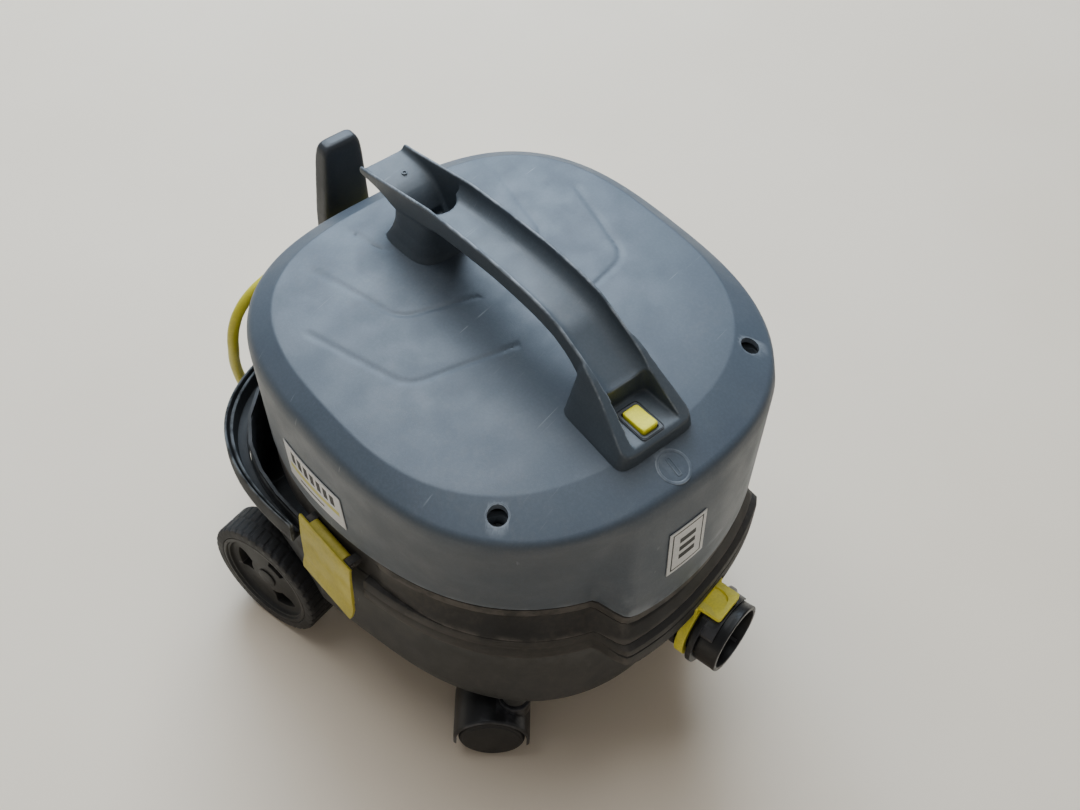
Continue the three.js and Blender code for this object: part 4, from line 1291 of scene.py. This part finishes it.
def adapter_shape():
    shell = raw_object("adapter", inlet_piece([
        (14.5, 138), (17.2, 138), (17.2, 157), (25, 157), (25, 161), (22, 161.3), (22, 172.7), (29, 173),
        (29, 177), (19, 177), (19, 160), (14.5, 157),
    ], 0.5))
    room = box_shape((-LEVER["half"] - 1, -180, 127.6), (LEVER["half"] + 1, -160, 140))
    combine(shell, "DIFFERENCE", room)
    saddle = raw_object("saddle", inlet_piece([(25.9, 176), (27.6, 176), (27.2, 186.5), (25.9, 186.5)], 0.4))
    combine(saddle, "INTERSECT", box_shape((-21, -190, 104), (21, -170, 140)))
    combine(saddle, "DIFFERENCE", box_shape((-LEVER["half"] - 1, -186, 127), (LEVER["half"] + 1, -170, 140)))
    combine(shell, "UNION", saddle)
    return bevelled(shell, 0.35, 2, 45)


def sleeve_shape():
    shell = raw_object("sleeve", inlet_piece([
        (15.5, 163), (18.7, 163), (18.7, 177.3), (25, 177.3), (25.2, 190), (25.5, 193), (25.2, 194),
        (22.4, 194), (21.9, 186), (21.5, 180), (15.5, 176),
    ], 0.5))
    rib = box_shape((20.2, -1.1, 178), (22.6, 1.1, 191.5))
    turns = [INLET @ Matrix.Rotation(k * math.pi / 2 + 0.5, 4, "Z") for k in range(4)]
    return combine(shell, "UNION", *(moved(rib, turn) for turn in turns))


def clip_shape():
    ring = raw_object("clip", inlet_piece([(22.3, 163), (27.4, 163), (27.4, 170), (22.3, 170)], 0.9))
    for side in (-1, 1):
        combine(ring, "UNION", box_shape((side * 14.2 - 1.3, -169, 122), (side * 14.2 + 1.3, -163, 133.6)))
    combine(ring, "DIFFERENCE", PIVOT_HOLE)
    return bevelled(ring, 0.4, 2, 50)


def lever_shape():
    half = LEVER["half"]
    back, front = LEVER["back"], LEVER["front"]
    outline = fillet([(-half, back), (-half, front), (half, front), (half, back)], [0.6, 2.6, 2.6, 0.6], 6)
    plate = raw_object("lever", upright(outline, LEVER["low"], LEVER["high"]))
    thumb = 7.6
    dimple = [(-thumb, -168.4), (-thumb, -174)]
    dimple += half_circle(thumb, -174, 16)[1:-1]
    dimple += [(thumb, -174), (thumb, -168.4)]
    combine(plate, "DIFFERENCE", upright(dimple, LEVER["high"] - 1.7, LEVER["high"] + 4))
    combine(plate, "DIFFERENCE", PIVOT_HOLE)
    return bevelled(plate, 0.5, 3, 45)


piece("inlet_collar", socket_shape(), BLACK, "container", "tub_grey", "inlet_socket")
piece("adapter_shell", adapter_shape(), BLACK, "hose_end", "black_plastic", "hose_adapter")
piece("sleeve_shell", sleeve_shape(), BLACK, "hose_swivel", "black_plastic", "hose_sleeve")
piece("clip_band", clip_shape(), YELLOW, "hose_end", "yellow_plastic", "clip_ring")
piece("lever_plate", lever_shape(), YELLOW, "lever", "yellow_plastic", "release_lever")
kept(STEEL, "lever_pin")

# ---------- rear wheels ----------
TREAD_BLOCKS = 40
TREAD_DEEP = 0.5


def tyre_shape():
    hub, radius, width = WHEEL["hub"] + GAP, WHEEL["radius"], WHEEL["width"]
    across = [(hub, 0.4), (hub + 0.4, 0), (radius - 2.4, 0), (radius - 0.8, 0.8), (radius, 2.4)]
    across += [(radius, mix(2.4, width - 2.4, k / 22)) for k in range(1, 22)]
    across += [(radius, width - 2.4), (radius - 0.8, width - 0.8), (radius - 2.4, width), (hub + 0.4, width),
               (hub, width - 0.4)]
    count = TREAD_BLOCKS * 10
    rows = []
    for k in range(count):
        angle = 2 * math.pi * k / count
        line = []
        for r, h in across:
            on_tread = r > radius - 0.1
            shift = 0.5 if h > width / 2 else 0.0
            in_gap = ((k / 10 + shift + 0.02 * h) % 1) < 0.3 or abs(h - width / 2) < 0.9
            on_shoulder = r > radius - 1 and h > width - 3
            scallop = 0.7 * max(0.0, math.cos(2 * math.pi * (k / 10))) if on_shoulder else 0
            r -= TREAD_DEEP if on_tread and in_gap else 0
            r -= scallop
            line.append((r * math.cos(angle), r * math.sin(angle), h))
        rows.append(line)
    return skin(rows, loop=True)


def hub_shape():
    hub = WHEEL["hub"]
    disc = raw_object("hub", turned_profile(fillet([
        (5.3, 0), (12, 0), (12, 9), (35, 9), (35, 0), (hub, 0), (hub, 28), (37.2, 28), (36.6, 26.2),
        (35.2, 26.2), (34.6, 23), (26, 21.5), (13, 23.5), (5.3, 24),
    ], [0.3, 0.5, 1, 1, 0.5, 0.5, 0.5, 0.5, 0.5, 0.5, 2, 4, 1, 0.5], 3), 128))
    for k in range(3):
        middle = 2 * math.pi * k / 3 + math.pi / 2
        arc = [mix(-0.38, 0.38, i / 12) for i in range(13)]
        outline = [(30 * math.cos(middle + a), 30 * math.sin(middle + a)) for a in arc]
        outline += [(16 * math.cos(middle - a), 16 * math.sin(middle - a)) for a in arc]
        outline = fillet(outline, [3 if i in (0, 12, 13, 25) else 0 for i in range(26)], 4)
        combine(disc, "DIFFERENCE", upright(outline, -5, 40))
    return bevelled(disc, 0.5, 2, 50)


def hub_cap():
    return turned_profile(fillet([(0, 24.2), (8, 24.2), (7.8, 24.9), (6.4, 25.3), (3.5, 25.5), (0, 25.5)],
                                 [0, 0.3, 0.8, 0.8, 0.8, 0], 3, closed=False), 64, closed=False)


for name, side in SIDES:
    place = Matrix.Translation((side * (WHEEL["x"] - WHEEL["width"]), WHEEL["y"], WHEEL["radius"]))
    place = place @ Matrix.Rotation(side * math.pi / 2, 4, "Y")
    hub_object = hub_shape()
    hub_object.data.transform(place)
    body = f"wheel_{name}"
    piece(f"tyre_{name}", moved(tyre_shape(), place), RUBBER, body, "rubber", f"rear_tyre_{name}", sharp=30)
    piece(f"hub_{name}", hub_object, HUB_GREY, body, "black_plastic", f"rear_wheel_{name}")
    piece(f"hub_cap_{name}", moved(hub_cap(), place), HUB_GREY, body, "black_plastic", f"wheel_cap_{name}")

# ---------- front casters ----------


def caster_arch(radius, half, foot, segments=40):
    outline = [(-radius, foot)]
    for i in range(segments + 1):
        turn = math.pi * i / segments
        outline.append((radius * math.cos(math.pi - turn), CASTER["radius"] + radius * math.sin(turn)))
    outline.append((radius, foot))
    return slab(outline, -half, half)


def caster_hood(side):
    hood = bevelled(raw_object("hood", caster_arch(CASTER["hood"], 19.5, 15)), 2.2, 4, 40)
    boss = shifted(rod_shape(11, 38, 51.3, 1.2, 64), 0, -side * CASTER["trail"], 0)
    combine(hood, "UNION", boss)
    room = raw_object("room", caster_arch(24.3, 30, 23))
    combine(room, "UNION", box_shape((-30, -24.3, -5), (30, 24.3, 24)))
    combine(room, "DIFFERENCE", box_shape((-5.2, -40, -10), (5.2, 40, 60)))
    axle = shifted(moved(rod_shape(2.3, -25, 25, 0.1, 32), ALONG_X), 0, 0, CASTER["radius"])
    stem = shifted(rod_shape(4.3, 43, 60, 0.1, 48), 0, -side * CASTER["trail"], 0)
    combine(hood, "DIFFERENCE", room, axle, stem)
    return bevelled(hood, 0.5, 2, 50)


def caster_wheel(outward):
    inner, face, radius = 5.6, 21, CASTER["radius"]
    disc = turned_profile(fillet([
        (0, 17.8), (2.3, 17.8), (2.3, inner), (radius - 1, inner), (radius, inner + 1), (radius, face - 4),
        (radius - 1.4, face - 2.2), (radius - 2.6, face - 2.0), (radius - 3.4, face - 1.2), (12, face - 0.2),
        (0, face),
    ], [0, 0.2, 0.2, 0.8, 0.8, 1, 1, 0.4, 1, 4, 0], 4, closed=False), 96, closed=False)
    turn = Matrix.Identity(4) if outward > 0 else Matrix.Rotation(math.pi, 4, "Z")
    return shifted(moved(disc, turn @ ALONG_X), 0, 0, radius)


for name, side in SIDES:
    yaw = CASTER_YAW if side < 0 else math.pi - CASTER_YAW
    place = Matrix.Translation((side * CASTER["x"], CASTER["y"], 0)) @ Matrix.Rotation(yaw, 4, "Z")
    place = place @ Matrix.Translation((0, side * CASTER["trail"], 0))
    hood_object = caster_hood(side)
    hood_object.data.transform(place)
    piece(f"caster_hood_{name}", hood_object, BLACK, f"caster_{name}", "black_plastic", f"caster_fork_{name}")
    for which, outward in (("outer", 1), ("inner", -1)):
        piece(f"caster_disc_{which}_{name}", moved(caster_wheel(outward), place), CASTER_RUBBER,
              f"caster_wheels_{name}", "rubber", f"caster_wheel_{which}_{name}")
    kept(STEEL, f"caster_axle_{name}", f"caster_stem_{name}")

# ---------- inside the lid ----------


def filter_basket():
    """A fleece cup with soft upright folds that hangs from its rim."""
    rows = []
    heights = [k / 20 for k in range(21)]
    sections = [(0.5, 84.9), (40, 84.8), (70, 85.2)]
    outer = sections + [(mix(75.5, 84, h), mix(86.5, 150, h)) for h in heights]
    inner = [(mix(81.2, 75.6, h), mix(150, 90, h)) for h in heights] + [(70, 88), (40, 87.8), (0.5, 87.8)]
    for r, z in outer + inner:
        line = []
        for a in ANGLES:
            wave = 0.45 * math.sin(18 * a + 0.8 * math.sin(3 * a))
            wave *= smooth((r - 60) / 15) * smooth((150 - z) / 12)
            line.append(((r + wave) * math.cos(a), 20 + (r + wave) * math.sin(a), z))
        rows.append(line)
    return skin(rows, loop=True)


def foam_disc():
    rows = []
    for r, z in ((1, 138), (36, 138), (39, 138.6), (40, 140), (40, 148), (39, 149.4), (36, 150), (1, 150)):
        rows.append([(x, y, z) for x, y in circle(r, ROUND, 0, MOTOR_Y)])
    return skin(rows)


piece("fleece_basket", filter_basket(), FLEECE, "lid", "filter_cloth", "main_filter", sharp=60)
piece("foam_disc", foam_disc(), FLEECE, "lid", "filter_cloth", "motor_filter", sharp=60)
kept(BLACK, "motor_housing", "filter_cage")
kept(ALLOY, "motor_armature", "fan_wheel")
